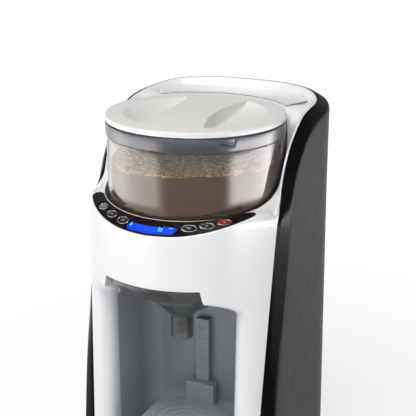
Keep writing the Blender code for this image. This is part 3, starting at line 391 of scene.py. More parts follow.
def prism(outline, low, high):
    def build(bm):
        base = [bm.verts.new(m((x, y, low))) for x, y in outline]
        top = [bm.verts.new(m((x, y, high))) for x, y in outline]
        bm.faces.new(base[::-1])
        bm.faces.new(top)
        for k in range(len(outline)):
            j = (k + 1) % len(outline)
            bm.faces.new((base[k], base[j], top[j], top[k]))
    return build


def block(low, high):
    (x0, y0, z0), (x1, y1, z1) = low, high
    return prism([(x0, y0), (x1, y0), (x1, y1), (x0, y1)], z0, z1)


def carve(obj, *cutters, keep=False):
    """Applies the object's modifiers and cuts the given shapes out of it for good."""
    for c in cutters:
        mod = obj.modifiers.new("cut", "BOOLEAN")
        mod.operation = "DIFFERENCE"
        mod.solver = "MANIFOLD"
        mod.object = c
    bake(obj)
    if not keep:
        for c in cutters:
            bpy.data.objects.remove(c, do_unlink=True)
    return obj


def bake(obj):
    bpy.context.view_layer.update()
    dg = bpy.context.evaluated_depsgraph_get()
    made = bpy.data.meshes.new_from_object(obj.evaluated_get(dg), preserve_all_data_layers=True, depsgraph=dg)
    obj.modifiers.clear()
    old = obj.data
    obj.data = made
    bpy.data.meshes.remove(old)
    made.name = obj.name
    return obj


def round_outline(outline, radius, n=6):
    """Rounds the corners of a closed outline."""
    pts = []
    count = len(outline)
    for i in range(count):
        a, b, c = (np.array(outline[(i + k) % count], float) for k in (-1, 0, 1))
        la, lc = np.linalg.norm(a - b), np.linalg.norm(c - b)
        d = min(radius, 0.45 * la, 0.45 * lc)
        p0, p2 = b + (a - b) * d / la, b + (c - b) * d / lc
        for k in range(n + 1):
            t = k / n
            pts.append(tuple((1 - t) ** 2 * p0 + 2 * t * (1 - t) * b + t * t * p2))
    return pts


def plate(name, outline, low, high, mats, body, edge=0.8, segments=3, **more):
    bm = bmesh.new()
    prism(outline, low, high)(bm)
    obj = finish_mesh(name, bm, mats, body, **more)
    if edge:
        bevel(obj, edge, segments)
    return obj


# ------------------------------------------------------------------ casing lines
SEAM_LINE = ((0.0, -58.0), (25.0, -56.0), (122.0, -48.0), (184.0, -42.0), (221.0, -38.0), (266.0, -32.6), (LEVEL, -29.2))
CREASE_LINE = ((0.0, -53.0), (25.0, -51.0), (122.0, -42.0), (176.0, -33.0), (243.0, -18.0), (300.0, -8.0), (319.0, 1.0))
COLLAR = ((0, -75.8), (15, -75.5), (30, -74.6), (42, -73.5), (55, -72.0), (66, -70.0), (77, -66.0), (89, -57.0), (100, -43.0), (111, -28.0), (122, -10.0), (132, -0.6), (140, -0.2), (180, -0.2))


def lean(z):
    return FLARE * max(0.0, 293.0 - z)


def head_radius(angle, z):
    return HEAD_R + lean(z) + 4.0 * (cos(angle) ** 2 - 0.3) + 0.9 * smooth(abs(angle), 45.0, 70.0)


def seam_y(z):
    return spline(z, SEAM_LINE)


def seam_angle(z):
    low, high = 40.0, 85.0
    for _ in range(30):
        mid = (low + high) / 2
        if -head_radius(mid, z) * cos(mid) < seam_y(z):
            low = mid
        else:
            high = mid
    return low


SEAM_ANGLE = seam_angle(LEVEL)
LEDGE_EDGE = ((0, 285.2), (15, 286.4), (30, 290.1), (40, 293.7), (48, 296.7), (56, 299.2), (62, 299.9), (67, 298.8), (72.4, 295.0))
EDGE_DEPTH = ((0, 2.4), (42, 2.4), (52, 4.2), (60, 6.8), (67, 7.4), (72.4, 5.0))
EDGE_DROP = ((0, 0.0), (42, 0.0), (52, 0.7), (60, 1.7), (67, 2.2), (72.4, 1.6))
# where the white arm meets the dark casing, from the wall up to the level rim: (x, y, z)
ARM = ((90.8, -23.9, 296.0), (89.3, -18.5, 302.0), (88.4, -14.9, 307.0), (88.0, -12.9, 312.0), (87.9, -10.9, 318.4), (88.0, -8.6, 324.4), (88.0, -3.6, 333.4),
       (88.1, 4.6, 345.0), (88.2, 12.5, 352.7), (88.3, 23.5, 361.2), (88.3, 34.6, 367.4), (88.3, 41.5, 369.6), (88.3, 49.2, 371.1), (88.3, 59.5, 372.4), (88.15, 66.0, 372.9))


def panel_low(angle):
    return spline(abs(angle), LEDGE_EDGE)


def collar_z(angle):
    return LID_TOP + spline(abs(angle), COLLAR)


def shoulder_z(y):
    """Height of the rim behind the arms."""
    return spline(y, ((34.6, 367.4), (49.2, 371.1), (59.5, 372.4), (71.0, 373.3), (84.0, 374.5), (93.0, 376.2), (102.0, 378.3), (112.0, 379.8), (121.0, 380.9)))


def outline_at(angle, side, centre, back, power):
    s, c = abs(sin(angle)), -cos(angle)
    x_hit = side / s if s > 1e-6 else 1e9
    if x_hit * c <= centre:
        reach = x_hit
    else:
        low, high = 0.0, 400.0
        for _ in range(44):
            reach = (low + high) / 2
            if (reach * s / side) ** power + (max(0.0, reach * c - centre) / back) ** power < 1:
                low = reach
            else:
                high = reach
    return reach * sin(angle), -reach * cos(angle)


def rim(angle, inset=0.0):
    return outline_at(angle, SEAM_X - inset, 58.0, 63.0 - inset, 2.6)


def surface_angle(x, z):
    a = 0.0
    for _ in range(8):
        a = math.degrees(math.asin(max(-0.999, min(0.999, x / head_radius(a, z)))))
    return a


def front_y(x, z):
    a = surface_angle(x, z)
    return -head_radius(a, z) * cos(a)


def round_into_bay(ex, ez, nx, nz, r):
    def slope(u):
        return (front_y(ex - nx * (u + 0.1), ez - nz * (u + 0.1)) - front_y(ex - nx * (u - 0.1), ez - nz * (u - 0.1))) / 0.2

    low, high = r * 0.2, r * 2.0
    for _ in range(26):
        u = (low + high) / 2
        g = slope(u)
        if u - r * g / math.hypot(1.0, g) - r < 0:
            low = u
        else:
            high = u
    g = slope(u)
    return math.degrees(math.atan2(-1.0, g)), front_y(ex - nx * u, ez - nz * u) + r / math.hypot(1.0, g), u


# ------------------------------------------------------------------ white casing
ARM_B = [(SEAM_ANGLE, head_radius(SEAM_ANGLE, LEVEL), LEVEL)] + [(math.degrees(math.atan2(x, -y)), math.hypot(x, y), z) for x, y, z in ARM]
ARM_END = ARM_B[-1][0]


def ring_sections():
    """Angles round the hopper at which the white top's cross-section is taken."""
    n = 56
    angles = [SEAM_ANGLE * k / n for k in range(n + 1)]
    for (b0, _, _), (b1, _, _) in zip(ARM_B, ARM_B[1:]):
        parts = max(2, round((b1 - b0) / 1.6))
        angles += [b0 + (b1 - b0) * k / parts for k in range(1, parts + 1)]
    last = angles[-1]
    steps = 44
    angles += [last + (180.0 - last) * k / steps for k in range(1, steps + 1)]
    full = [-a for a in angles[:0:-1]] + angles[:-1]
    return full


def seam_at(b):
    """The edge where the white meets the dark, beyond the front wall: (radius, height)."""
    if b <= ARM_END:
        return spline(b, [(q[0], q[1]) for q in ARM_B]), spline(b, [(q[0], q[2]) for q in ARM_B])
    x, y = rim(b)
    return math.hypot(x, y), shoulder_z(y)


def section(a):
    """Key points (distance from the axis, height) from the outer wall in to the hopper well."""
    b = abs(a)
    side = smooth(b, 60.0, 76.0)
    rear = smooth(b, 122.0, 138.0)
    if b <= SEAM_ANGLE + 1e-6:
        z_o = panel_low(b)
        r_o = head_radius(b, z_o) - spline(b, EDGE_DROP)
        foot = z_o - spline(b, EDGE_DEPTH)
        first = (head_radius(b, foot), foot)
    else:
        r_e, z_e = seam_at(b)
        t = smooth(b, SEAM_ANGLE, 82.0)
        first = (r_e, mix(z_e, z_e - 1.6, t))
        r_o, z_o = mix(r_e - 1.6, r_e, t), mix(z_e + 5.0, z_e, t)
    z_c = collar_z(b)
    r_c = WELL_R + 0.1 - 0.8 * smooth(b, 60.0, 80.0) * (1 - smooth(b, 105.0, 125.0))
    # second key: just inside the outer edge
    lip = mix(3.0, 2.1, side) + 1.5 * rear
    slope = (z_c - z_o) / (r_c - r_o)
    k1 = (r_o - lip, mix(z_o - slope * lip, z_o - 0.15, max(rear, 0.55 * side)))
    # third key: the hollow of the saddle, or the foot of the rim behind
    straight = mix(r_o, r_c, 0.55)
    m_r = mix(straight, r_o - 8.6, rear)
    flat = z_o + slope * (straight - r_o)
    m_z = mix(mix(flat, z_c + (z_o - z_c) * 0.16, side), LID_TOP - 1.2, rear)
    if rear < 1:
        m_r = mix(m_r, mix(r_c, r_o, 0.30), side * (1 - rear))
    keys = [first, (r_o, z_o), k1, (m_r, m_z), (r_c, z_c), (WELL_R - 0.8 * smooth(b, 60.0, 80.0) * (1 - smooth(b, 105.0, 125.0)), 276.5)]
    round_edge = mix(1.4, 3.6, smooth(b, 44.0, 60.0)) - 1.4 * smooth(b, 72.0, 82.0)
    sizes = (round_edge, mix(0.6, 1.6, side), mix(4.0, 3.0, rear), mix(0.7, 1.1, side))
    return keys, sizes


def white_casing():
    bm = bmesh.new()
    rows = None
    angles = ring_sections()
    columns = []
    for a in angles:
        keys, sizes = section(a)
        pts = fillet(keys, sizes, 5)
        columns.append([polar(r, a, z) for r, z in pts])
    rows = [[c[i] for c in columns] for i in range(len(columns[0]))]
    weave(bm, rows, loop=True)

    tops = {round(a, 4): c[0] for a, c in zip(angles, columns) if abs(a) <= SEAM_ANGLE + 1e-6}
    front = sorted(tops)
    corner = 19.0
    n = len(front) // 2
    lines = []

    def at_corner(phi, sign):
        r = LEG_ROUND + (BROW_ROUND - LEG_ROUND) * cos(phi) ** 1.5
        return sign * (BAY_X - corner + corner * sin(phi)), BAY_TOP - corner + corner * cos(phi), -sign * sin(phi), -cos(phi), r

    fans = [(40 + 50 * (k / 14), None) for k in range(1, 15)]
    zt = tops[front[-1]][2]
    fan = [(phi, zt + (207.0 - zt) * ((phi - 40) / 50) ** 1.05) for phi, _ in fans]
    legs = [207.0 - 199.0 * (k / 26) for k in range(1, 27)]
    for sign in (-1, 1):
        group = []
        for phi, z in fan:
            group.append((sign * seam_angle(min(z, LEVEL)), z, at_corner(phi, sign)))
        for z in legs:
            group.append((sign * seam_angle(z), z, (sign * BAY_X, z, -float(sign), 0.0, LEG_ROUND - 1.3 * smooth(100.0 - z, 0.0, 92.0))))
        if sign < 0:
            lines += group[::-1]
            for k, a in enumerate(front):
                u = (k - n) / n
                z = tops[a][2]
                if abs(u) > 0.6:
                    lines.append((a, z, at_corner((abs(u) - 0.6) / 0.4 * 40.0, 1 if u > 0 else -1)))
                else:
                    lines.append((a, z, ((BAY_X - corner) * u / 0.6, BAY_TOP, 0.0, -1.0, BROW_ROUND)))
        else:
            lines += group
    cols = []
    for a, z, (ex, ez, nx, nz, r) in lines:
        theta, centre, reach = round_into_bay(ex, ez, nx, nz, r)
        x1, z1 = ex - nx * reach, ez - nz * reach
        a1 = surface_angle(x1, z1)
        col = []
        for f in (0.0, 0.05, 0.12, 0.22, 0.34, 0.47, 0.6, 0.72, 0.83, 0.92, 1.0):
            a2, z2 = a + (a1 - a) * f, z + (z1 - z) * f
            col.append(polar(head_radius(a2, z2), a2, z2))
        for k in range(1, 13):
            t = theta + (-180.0 - theta) * k / 12
            u = r + r * cos(t)
            col.append((ex - nx * u, centre + r * sin(t), ez - nz * u))
        col.append((ex, (centre + FLANGE_Y) / 2 if centre < FLANGE_Y else FLANGE_Y - 0.01, ez))
        col.append((ex, FLANGE_Y, ez))
        cols.append(col)
    weave(bm, [[c[i] for c in cols] for i in range(len(cols[0]))])
    obj = finish_mesh("white_casing", bm, WHITE, "chassis", slot="white_shell", replaces=("front_shell",), out=(0, -1, 0), weld=2e-5)
    solidify(obj, 2.0)
    return obj


def tank_outline(inset, n=24):
    half, wide = TANK_X - inset, 92.5
    pts = []
    for k in range(n + 1):
        x = half * (k * 2 / n - 1)
        pts.append((x, max(66.0 + inset, math.sqrt((TANK_FRONT + inset) ** 2 - x * x))))
    for k in range(n + 1):
        x = half * (1 - k * 2 / n)
        gap = TANK_INSET + inset
        pts.append((x, 60.0 + (60.5 - gap) * (1 - (abs(x) / (wide - gap)) ** 2.5) ** 0.4))
    return pts


PANEL_HALF = 60.0


def ledge(a, f):
    """A point on the control ledge: f runs from the well to the front wall."""
    keys, _ = section(a)
    (r0, z0), (r1, z1) = keys[4], keys[1]
    return Vector(polar(mix(WELL_R, r1, f), a, mix(z0, z1, f)))


def panel_frame(a, f=0.5):
    keys, _ = section(a)
    (r0, z0), (r1, z1) = keys[4], keys[1]
    r0 = WELL_R
    here = Vector(polar(r0 + (r1 - r0) * f, a, z0 + (z1 - z0) * f))
    fall = Vector((sin(a) * (r1 - r0), -cos(a) * (r1 - r0), z1 - z0)).normalized()
    across = Vector((cos(a), sin(a), 0.0))
    out = across.cross(-fall).normalized()
    if out.z < 0:
        out = -out
    return here, across, -fall, out


def panel_grid(pad, lift, na=96, nf=12):
    rows = []
    for i in range(nf + 1):
        f = i / nf
        row = []
        for k in range(na + 1):
            t = k * 2 / na - 1
            end = (PANEL_HALF if t > 0 else PANEL_HALF - 2.6) + pad * 0.7 - (5.0 if t > 0 else 3.4) * abs(2 * f - 1) ** 3.2
            a = t * end
            keys, _ = section(a)
            z0, (full1, z1) = keys[4][1], keys[1]
            r0, r1 = WELL_R + 1.1 - pad, full1 - 1.45 + pad
            r = r0 + (r1 - r0) * f
            g = (r - WELL_R) / (full1 - WELL_R)
            row.append(polar(r, a, z0 + (z1 - z0) * g + lift))
        rows.append(row)
    return rows


def slab_bm(bm, rows, depth, index=0):
    """A skin dropped straight down into a closed slab."""
    top = weave(bm, rows, index=index)
    n, w = len(rows), len(rows[0])
    low = weave(bm, [[(x, y, z - depth) for x, y, z in row] for row in rows], index=index)
    border = [(i, 0) for i in range(n)] + [(n - 1, j) for j in range(1, w)] + [(i, w - 1) for i in range(n - 2, -1, -1)] + [(0, j) for j in range(w - 2, 0, -1)]
    for (i, j), (k, l) in zip(border, border[1:] + border[:1]):
        bm.faces.new((top[i][j], top[k][l], low[k][l], low[i][j])).material_index = index


casing = white_casing()
panel_gap = cutter("panel_gap", lambda bm: slab_bm(bm, panel_grid(0.22, 4.0), 14.0))
def lip_opening(bm):
    """A block across the front whose sides lean outwards to the foot."""
    outline = ((-45.3, 239.0), (45.3, 239.0), (54.5, 200.0), (-54.5, 200.0))
    weave(bm, [[(x, y, z) for x, z in outline] for y in (-140.0, -30.0)], loop=True, cap_first=True, cap_last=True)


lip_gap = cutter("lip_gap", lip_opening)
tank_gap = cutter("tank_gap", prism(tank_outline(-1.5), 335.0, 400.0))
carve(casing, panel_gap, lip_gap, tank_gap)
bevel(casing, 0.35, 2, 50.0)

# ------------------------------------------------------------------ dark casing
CREASE_LEG = ((0.0, -53.0), (25.0, -51.0), (122.0, -42.0), (176.0, -33.0), (243.0, -18.6), (290.0, -11.2))
CREASE_TOP = ((-11.2, 290.0), (-9.0, 299.0), (-5.5, 309.5), (-0.3, 320.0), (7.3, 331.6), (16.4, 341.6), (25.5, 349.6), (35.0, 355.0), (47.0, 359.2), (60.0, 361.9), (66.0, 362.7))
SPINE_Y = 30.0


def curve_points(points, n):
    """n + 1 points, evenly spaced along a smooth curve through the given ones."""
    pts = [np.array(p, float) for p in points]
    ext = [2 * pts[0] - pts[1]] + pts + [2 * pts[-1] - pts[-2]]
    dense = []
    for i in range(len(pts) - 1):
        a, b, c, d = ext[i:i + 4]
        for k in range(16):
            t = k / 16
            dense.append(0.5 * ((2 * b) + (c - a) * t + (2 * a - 5 * b + 4 * c - d) * t * t + (3 * b - a - 3 * c + d) * t ** 3))
    dense.append(pts[-1])
    dense = np.array(dense)
    run = np.concatenate([[0], np.cumsum(np.linalg.norm(np.diff(dense, axis=0), axis=1))])
    return [np.array([np.interp(q, run, dense[:, j]) for j in range(dense.shape[1])]) for q in np.linspace(0, run[-1], n + 1)]


def side_x(z):
    return SIDE_X + 0.6 * lean(z)


def side_point(a, z):
    grow = 0.6 * lean(z)
    return outline_at(a, SIDE_X + grow, 66.0, REAR_Y - 66.0 + grow, 3.0)


def dark_profile(e, p, c, b, sign):
    """From the seam over the lip, the bevel and the crease to the flat of the side."""
    pts = fillet([e, p, c, b], (0.9, 3.2), 5)
    last, end = np.array(pts[-2], float), np.array(pts[-1], float)
    pts = pts[:-1] + [tuple(last + (end - last) * f) for f in (0.12, 0.3, 0.55, 0.8, 1.0)]
    return [(sign * x, y, z) for x, y, z in pts]


def leg_keys(z):
    a = seam_angle(z)
    r = head_radius(a, z) + 0.1
    e = np.array(polar(r, a + 0.24, z))
    c = np.array((side_x(z), spline(z, CREASE_LEG), z))
    d = (c - e) / np.linalg.norm(c - e)
    p = e + d * 3.8 + np.array((-d[1] * -1.0, -d[0], 0.0)) * 0.85
    return e, p, c


def dark_casing():
    bm = bmesh.new()
    heights = [6.0 + (LEVEL - 6.0) * k / 34 for k in range(35)]
    seam = [np.array((ARM_B[0][1] * sin(ARM_B[0][0]), -ARM_B[0][1] * cos(ARM_B[0][0]), LEVEL))] + [np.array(q) for q in ARM]
    n = 44
    seam = curve_points(seam, n)
    crease = [np.array((side_x(q[1]), q[0], q[1])) for q in curve_points([(y, z) for y, z in CREASE_TOP], n)]
    e0, p0, c0 = leg_keys(LEVEL)
    half = []
    for k in range(n + 1):
        s_, c = seam[k], crease[k]
        w = smooth(s_[1], 0.0, 50.0)
        e = s_ + np.array((0.3, 0.0, 0.05)) * smooth(s_[2], LEVEL, 312.0)
        if k == 0:
            e, p, c = e0, p0, c0
        else:
            f = smooth(k, 0, 8)
            e = e + (e0 - seam[0]) * (1 - f)
            d = (c - e) / np.linalg.norm(c - e)
            outward = np.cross(d, np.array((0.0, 1.0, 0.0)) * w + np.array((0.0, 0.0, 1.0)) * (1 - w))
            outward /= np.linalg.norm(outward)
            leg = d * 3.8 + outward * (0.85 if outward[0] > 0 else -0.85)
            p = e + leg * (1 - w) + np.array((2.3, 0.0, -0.45)) * w
        b = np.array((side_x(LEVEL), SPINE_Y + (66.0 - SPINE_Y) * k / n, LEVEL))
        half.append((e, p, c, b))
    steps = 34
    a_s, a_r = math.degrees(math.atan2(SIDE_X, -66.0)), math.degrees(math.atan2(SEAM_X, -66.0))
    for k in range(1, steps + 1):
        f = k / steps
        x, y = rim(a_r + (180.0 - a_r) * f, -0.3)
        x0, y0 = rim(a_r + (180.0 - a_r) * f)
        e = np.array((x, y, shoulder_z(y0) - 0.02))
        a = a_s + (180.0 - a_s) * f
        cx, cy = side_point(a, 366.0)
        drop = spline(cy, ((66.0, 10.2), (90.0, 8.5), (128.0, 5.5)))
        c = np.array((cx, cy, shoulder_z(y0) - drop))
        out_xy = np.array((cx - x, cy - y, 0.0))
        out_xy /= max(1e-9, np.linalg.norm(out_xy))
        p = e + out_xy * 2.3 + np.array((0.0, 0.0, -0.45))
        bx, by = side_point(a, LEVEL)
        half.append((e, p, c, np.array((bx, by, LEVEL))))
    right = [dark_profile(*q, 1) for q in half]
    left = [dark_profile(*q, -1) for q in half]
    full = right + left[-2::-1]
    weave(bm, [[col[i] for col in full] for i in range(len(full[0]))])
    for sign in (1, -1):
        rows = []
        for z in heights:
            e, p, c = leg_keys(z)
            rows.append(dark_profile(e, p, c, np.array((side_x(z), SPINE_Y, z)), sign))
        weave(bm, rows)
    rows = []
    for z in heights:
        row = [(side_x(z), SPINE_Y + (66.0 - SPINE_Y) * k / n, z) for k in range(n + 1)]
        for k in range(1, steps + 1):
            x, y = side_point(a_s + (180.0 - a_s) * k / steps, z)
            row.append((x, y, z))
        rows.append(row + [(-x, y, z_) for x, y, z_ in row[-2::-1]])
    weave(bm, rows)
    obj = finish_mesh("dark_casing", bm, [CHARCOAL, BLACK_GLOSS], "chassis", slot="dark_shell", replaces=("rear_shell",), out=(0, 1, 0), weld=3e-5, sharp=60)
    # the bevel along the seam is glossy black, the rest satin
    for face in obj.data.polygons:
        c = face.center * 1000.0
        y = c.y - SHIFT_Y
        if c.z <= LEVEL:
            black = y < spline(c.z, CREASE_LEG) + 0.2
        elif y < 66.0:
            black = beyond_crease(y, c.z)
        else:
            black = c.z > shoulder_z(y) - spline(y, ((66.0, 10.2), (90.0, 8.5), (128.0, 5.5))) + 0.1 or abs(face.normal.z) > 0.35
        face.material_index = 1 if black else 0
    solidify(obj, 2.0)
    return obj


def beyond_crease(y, z):
    """True above and in front of the crease over the shoulder."""
    line = CREASE_TOP
    if z < line[0][1]:
        return False
    if z <= 341.6:
        return y < spline(z, tuple((b, a) for a, b in line)) + 0.2
    return z > spline(y, line) - 0.2


dark = dark_casing()
level_gap = cutter("level_gap", prism(round_outline([(-9.0, 100.0), (9.0, 100.0), (9.0, 150.0), (-9.0, 150.0)], 0.1, 1), 110.0, 300.0))
inlet_gap = cutter("inlet_gap", block((34.7, 100.0, 13.7), (66.3, 150.0, 38.3)))
carve(dark, level_gap, inlet_gap)
bevel(dark, 0.4, 2, 55.0)

bm = bmesh.new()
for k in range(9):
    z = 124.0 + 20.0 * k
    y = REAR_Y + 0.6 * lean(z)
    for x0, x1 in ((11.5, 18.0 if k % 2 else 21.5),):
        made = bmesh.ops.create_cube(bm, size=1.0)
        for v in made["verts"]:
            v.co = m((mix(x0, x1, v.co.x + 0.5), y + 0.05 + 0.25 * v.co.y, z + 0.5 * v.co.z))
finish_mesh("level_marks", bm, PRINT, "chassis", smooth_faces=False)


# ------------------------------------------------------------------ lid
TURN = math.radians(4.7)
LENS_R = 64.5


def lid_point(x, y, z):
    """From the bar's own axes to the hopper's."""
    return (x * math.cos(TURN) - y * math.sin(TURN), x * math.sin(TURN) + y * math.cos(TURN), z)


def scoop(side):
    """Cutter for one finger recess: steep beside the bar, rising smoothly to the outer arc."""
    def build(bm):
        tip = 57.35 if side > 0 else 57.15
        rows = []
        nv = 72
        for i in range(nv + 1):
            v = -1.0 + 2.0 * i / nv
            v = math.sin(v * math.pi / 2)
            y = tip * v * 0.9995
            inner = (18.5 + 10.6 * (y / 57.0) ** 2) if side > 0 else (25.5 + 4.3 * (y / 57.0) ** 2)
            outer = max(inner + 0.05, math.sqrt(LENS_R ** 2 - y * y))
            depth = 10.5 * max(0.0, 1 - v * v) ** 0.62
            row = [(inner, 4.0)]
            for k in range(0, 9):
                q = k / 8
                row.append((inner + min(4.6, 0.16 * (outer - inner)) * (1 - math.cos(q * math.pi / 2)) ** 0.9, -depth * math.sin(q * math.pi / 2)))
            start = row[-1][0]
            for k in range(1, 25):
                t = k / 24
                row.append((start + (outer - start) * t, -depth * (1 - t ** 1.75)))
            row.append((outer, 4.0))
            rows.append([lid_point(side * x, y, LID_TOP + z) for x, z in row])
        weave(bm, rows, loop=True, cap_first=True, cap_last=True)
        bmesh.ops.remove_doubles(bm, verts=bm.verts, dist=1e-6)
    return build


lid_profile = fillet([(9.0, LID_TOP), (LID_R, LID_TOP), (LID_R, LID_TOP - 4.8), (75.2, LID_TOP - 4.8), (75.2, 362.2), (72.6, 362.2), (72.6, 357.6),
                      (75.2, 357.6), (75.2, 354.6), (9.0, 354.6)], (1.3, 0.5, 0.4, 0.3, 0.2, 0.2, 0.3, 0.8), 5)
bm = bmesh.new()
rows = [[(r * cos(2.5 * k), r * sin(2.5 * k), z) for k in range(144)] for r, z in lid_profile]
weave(bm, rows, loop=True, cap_first=True)
hub = [[(r * cos(2.5 * k), r * sin(2.5 * k), z) for k in range(144)] for r, z in ((9.0, 354.6), (9.0, 366.6), (8.0, 368.0))]
weave(bm, hub, loop=True, cap_last=True)
lid = finish_mesh("lid", bm, LID_WHITE, "lid", slot="white_shell", replaces=("hopper_lid",), out=(0, 0, 1), sharp=30)


def lug(a0, a1):
    def build(bm):
        rows = [[polar(r, a0 + (a1 - a0) * j / 8, z) for j in range(9)] for r, z in ((73.4, 367.4), (77.3, 367.2), (77.3, 363.0), (73.4, 362.8))]
        weave(bm, rows + [rows[0]])
        bmesh.ops.remove_doubles(bm, verts=bm.verts, dist=1e-6)
        bmesh.ops.holes_fill(bm, edges=bm.edges)
    return build


for k, a in enumerate((33.0, 153.0, 273.0)):
    tool = cutter(f"lug_{k}", lug(a - 14.0, a - 6.2))
    mod = lid.modifiers.new("lug", "BOOLEAN")
    mod.operation, mod.solver, mod.object = "UNION", "MANIFOLD", tool
bake(lid)
for k in range(3):
    bpy.data.objects.remove(bpy.data.objects[f"lug_{k}"], do_unlink=True)
carve(lid, cutter("scoop_left", scoop(-1)), cutter("scoop_right", scoop(1)))
lid.data.set_sharp_from_angle(angle=math.radians(28))
bevel(lid, 0.45, 3, 24.0)


# ------------------------------------------------------------------ lock ring
ring_profile = fillet([(79.4, RING_LOW), (LID_R, RING_LOW), (LID_R, RING_TOP - 0.5), (79.0, RING_TOP - 0.5), (79.0, RING_LOW + 0.6), (79.4, RING_LOW)], (0.7, 0.6, 0.3, 0.2), 4)
bm = bmesh.new()
rows = [[(r * cos(360 * k / 160), r * sin(360 * k / 160), z) for k in range(160)] for r, z in ring_profile]
weave(bm, rows, loop=True)
ring = finish_mesh("bayonet_ring", bm, RING, "hopper", slot="lock_ring_grey", replaces=("lock_ring",), weld=2e-6, out=(0, -1, 0))


def slot_in_ring(a0, a1, z0, z1):
    def build(bm):
        rows = [[polar(r, a0 + (a1 - a0) * j / 10, z) for j in range(11)] for r, z in ((80.2, z0), (83.0, z0), (83.0, z1), (80.2, z1))]
        weave(bm, rows + [rows[0]])
        bmesh.ops.remove_doubles(bm, verts=bm.verts, dist=1e-6)
        bmesh.ops.holes_fill(bm, edges=bm.edges)
    return build


slots = []
for k in range(3):
    base = 49.3 + 120.0 * k
    slots.append(cutter(f"slot_v{k}", slot_in_ring(base - 0.42, base + 0.42, 360.9, 370.0)))
    slots.append(cutter(f"slot_h{k}", slot_in_ring(base - 9.6, base + 0.42, 360.2, 361.3)))
carve(ring, *slots)
bevel(ring, 0.15, 2, 40.0)

# ------------------------------------------------------------------ bowl and powder
bowl_profile = fillet([(76.4, RING_TOP - 0.2), (78.4, RING_TOP - 0.2), (78.4, RING_LOW - 0.5), (BOWL_R - 0.05, RING_LOW - 0.5), (BOWL_R - 0.65, BOWL_FLOOR + 3.0), (BOWL_R - 3.6, BOWL_FLOOR + 0.1),
                       (7.7, BOWL_FLOOR + 0.1), (7.7, BOWL_FLOOR + 2.5), (BOWL_R - 4.6, BOWL_FLOOR + 2.5), (BOWL_R - 0.65 - BOWL_WALL, BOWL_FLOOR + 5.2),
                       (BOWL_R - BOWL_WALL, RING_LOW - 2.8), (76.4, RING_LOW), (76.4, RING_TOP - 0.2)], (0.5, 0.2, 0.5, 1.6, 1.6, 0.3, 0.3, 1.4, 1.2, 0.6, 0.6), 4)
bm = bmesh.new()
rows = [[(r * cos(2.5 * k), r * sin(2.5 * k), z) for k in range(144)] for r, z in bowl_profile]
weave(bm, rows, loop=True)
bowl = finish_mesh("powder_bowl", bm, CLEAR, "hopper", slot="clear_plastic", replaces=("hopper_bowl",), weld=2e-6, out=(0, -1, 0))


def notch(a0, a1):
    def build(bm):
        rows = [[polar(r, a0 + (a1 - a0) * j / 8, z) for j in range(9)] for r, z in ((70.0, 361.5), (77.7, 361.5), (77.7, 382.0), (70.0, 382.0))]
        weave(bm, rows + [rows[0]])
        bmesh.ops.remove_doubles(bm, verts=bm.verts, dist=1e-6)
        bmesh.ops.holes_fill(bm, edges=bm.edges)
    return build


outlet = [(8.0 * cos(10 * k), -48.0 + 8.0 * sin(10 * k)) for k in range(36)]
carve(bowl, cutter("outlet", prism(outlet, 260.0, 282.0)), *[cutter(f"notch_{k}", notch(a - 15.0, a + 12.0)) for k, a in enumerate((33.0, 153.0, 273.0))])
bevel(bowl, 0.25, 2, 40.0)

POWDER_R = BOWL_R - 0.65 - BOWL_WALL + 0.3


def powder_level(x, y):
    """Height of the powder, banked a little to one side, with crumbs."""
    base = 331.5 + 0.030 * x - 0.02 * y
    p = Vector((x, y, 0.0))
    return base + 2.2 * noise.noise(p * 0.045) + 1.1 * noise.noise(p * 0.16 + Vector((7, 3, 1))) + 0.55 * noise.noise(p * 0.5 + Vector((1, 9, 4)))


bm = bmesh.new()
top = []
for i in range(47):
    r = POWDER_R * (i + 0.35) / 46.35
    top.append([(r * cos(1.8 * k), r * sin(1.8 * k), powder_level(r * cos(1.8 * k), r * sin(1.8 * k)) - (0.8 if i == 46 else 0.0)) for k in range(200)])
side = []
for i in range(1, 13):
    f = i / 12
    side.append([(POWDER_R * cos(1.8 * k) * (1 - 0.004 * f), POWDER_R * sin(1.8 * k) * (1 - 0.004 * f), mix(top[-1][k][2], 280.0, f)) for k in range(200)])
inner = [[(74.4 * cos(1.8 * k), 74.4 * sin(1.8 * k), z) for k in range(200)] for z in (280.0, 324.0)]
roof = [[(r * cos(1.8 * k), r * sin(1.8 * k), 324.0) for k in range(200)] for r in (50.0, 14.0)]
weave(bm, top, loop=True, cap_first=True)
weave(bm, [top[-1]] + side, loop=True, index=1)
weave(bm, [side[-1]] + inner + roof, loop=True, cap_last=True, index=1)
powder = finish_mesh("formula_powder", bm, [POWDER, PRESSED_PAINTED_SHADE], "hopper", weld=2e-6, out=(0, 0, 1), sharp=50)


# ------------------------------------------------------------------ control panel
def oval(angle, ax, ay, low, high, n=48, f=0.5):
    """An upright oval block square to the control face."""
    here, across, up, out = panel_frame(angle, f)

    def build(bm):
        rows = [[tuple(here + across * (ax * cos(360 * k / n)) + up * (ay * sin(360 * k / n)) + out * h) for k in range(n)] for h in (low, high)]
        weave(bm, rows, loop=True, cap_first=True, cap_last=True)
    return build


KEYS = (("mode_button", "mode_key", -38.0), ("volume_button", "volume_key", -27.5), ("heat_button", "heat_key", -17.5),
        ("powder_button", "powder_key", 22.0), ("start_button", "start_key", 31.5), ("stop_button", "stop_key", 41.0))

bm = bmesh.new()
slab_bm(bm, panel_grid(0.0, 0.35), 2.2)
panel = finish_mesh("control_panel", bm, PANEL, "chassis", slot="panel_gloss", replaces=("panel_lens",), sharp=40)
cuts = [cutter(f"key_gap_{k}", oval(a, 6.85, 4.25, -7.0, 7.0)) for k, (_, _, a) in enumerate(KEYS)]

A0, A1, F0, F1 = -12.9, 15.0, 0.30, 0.68


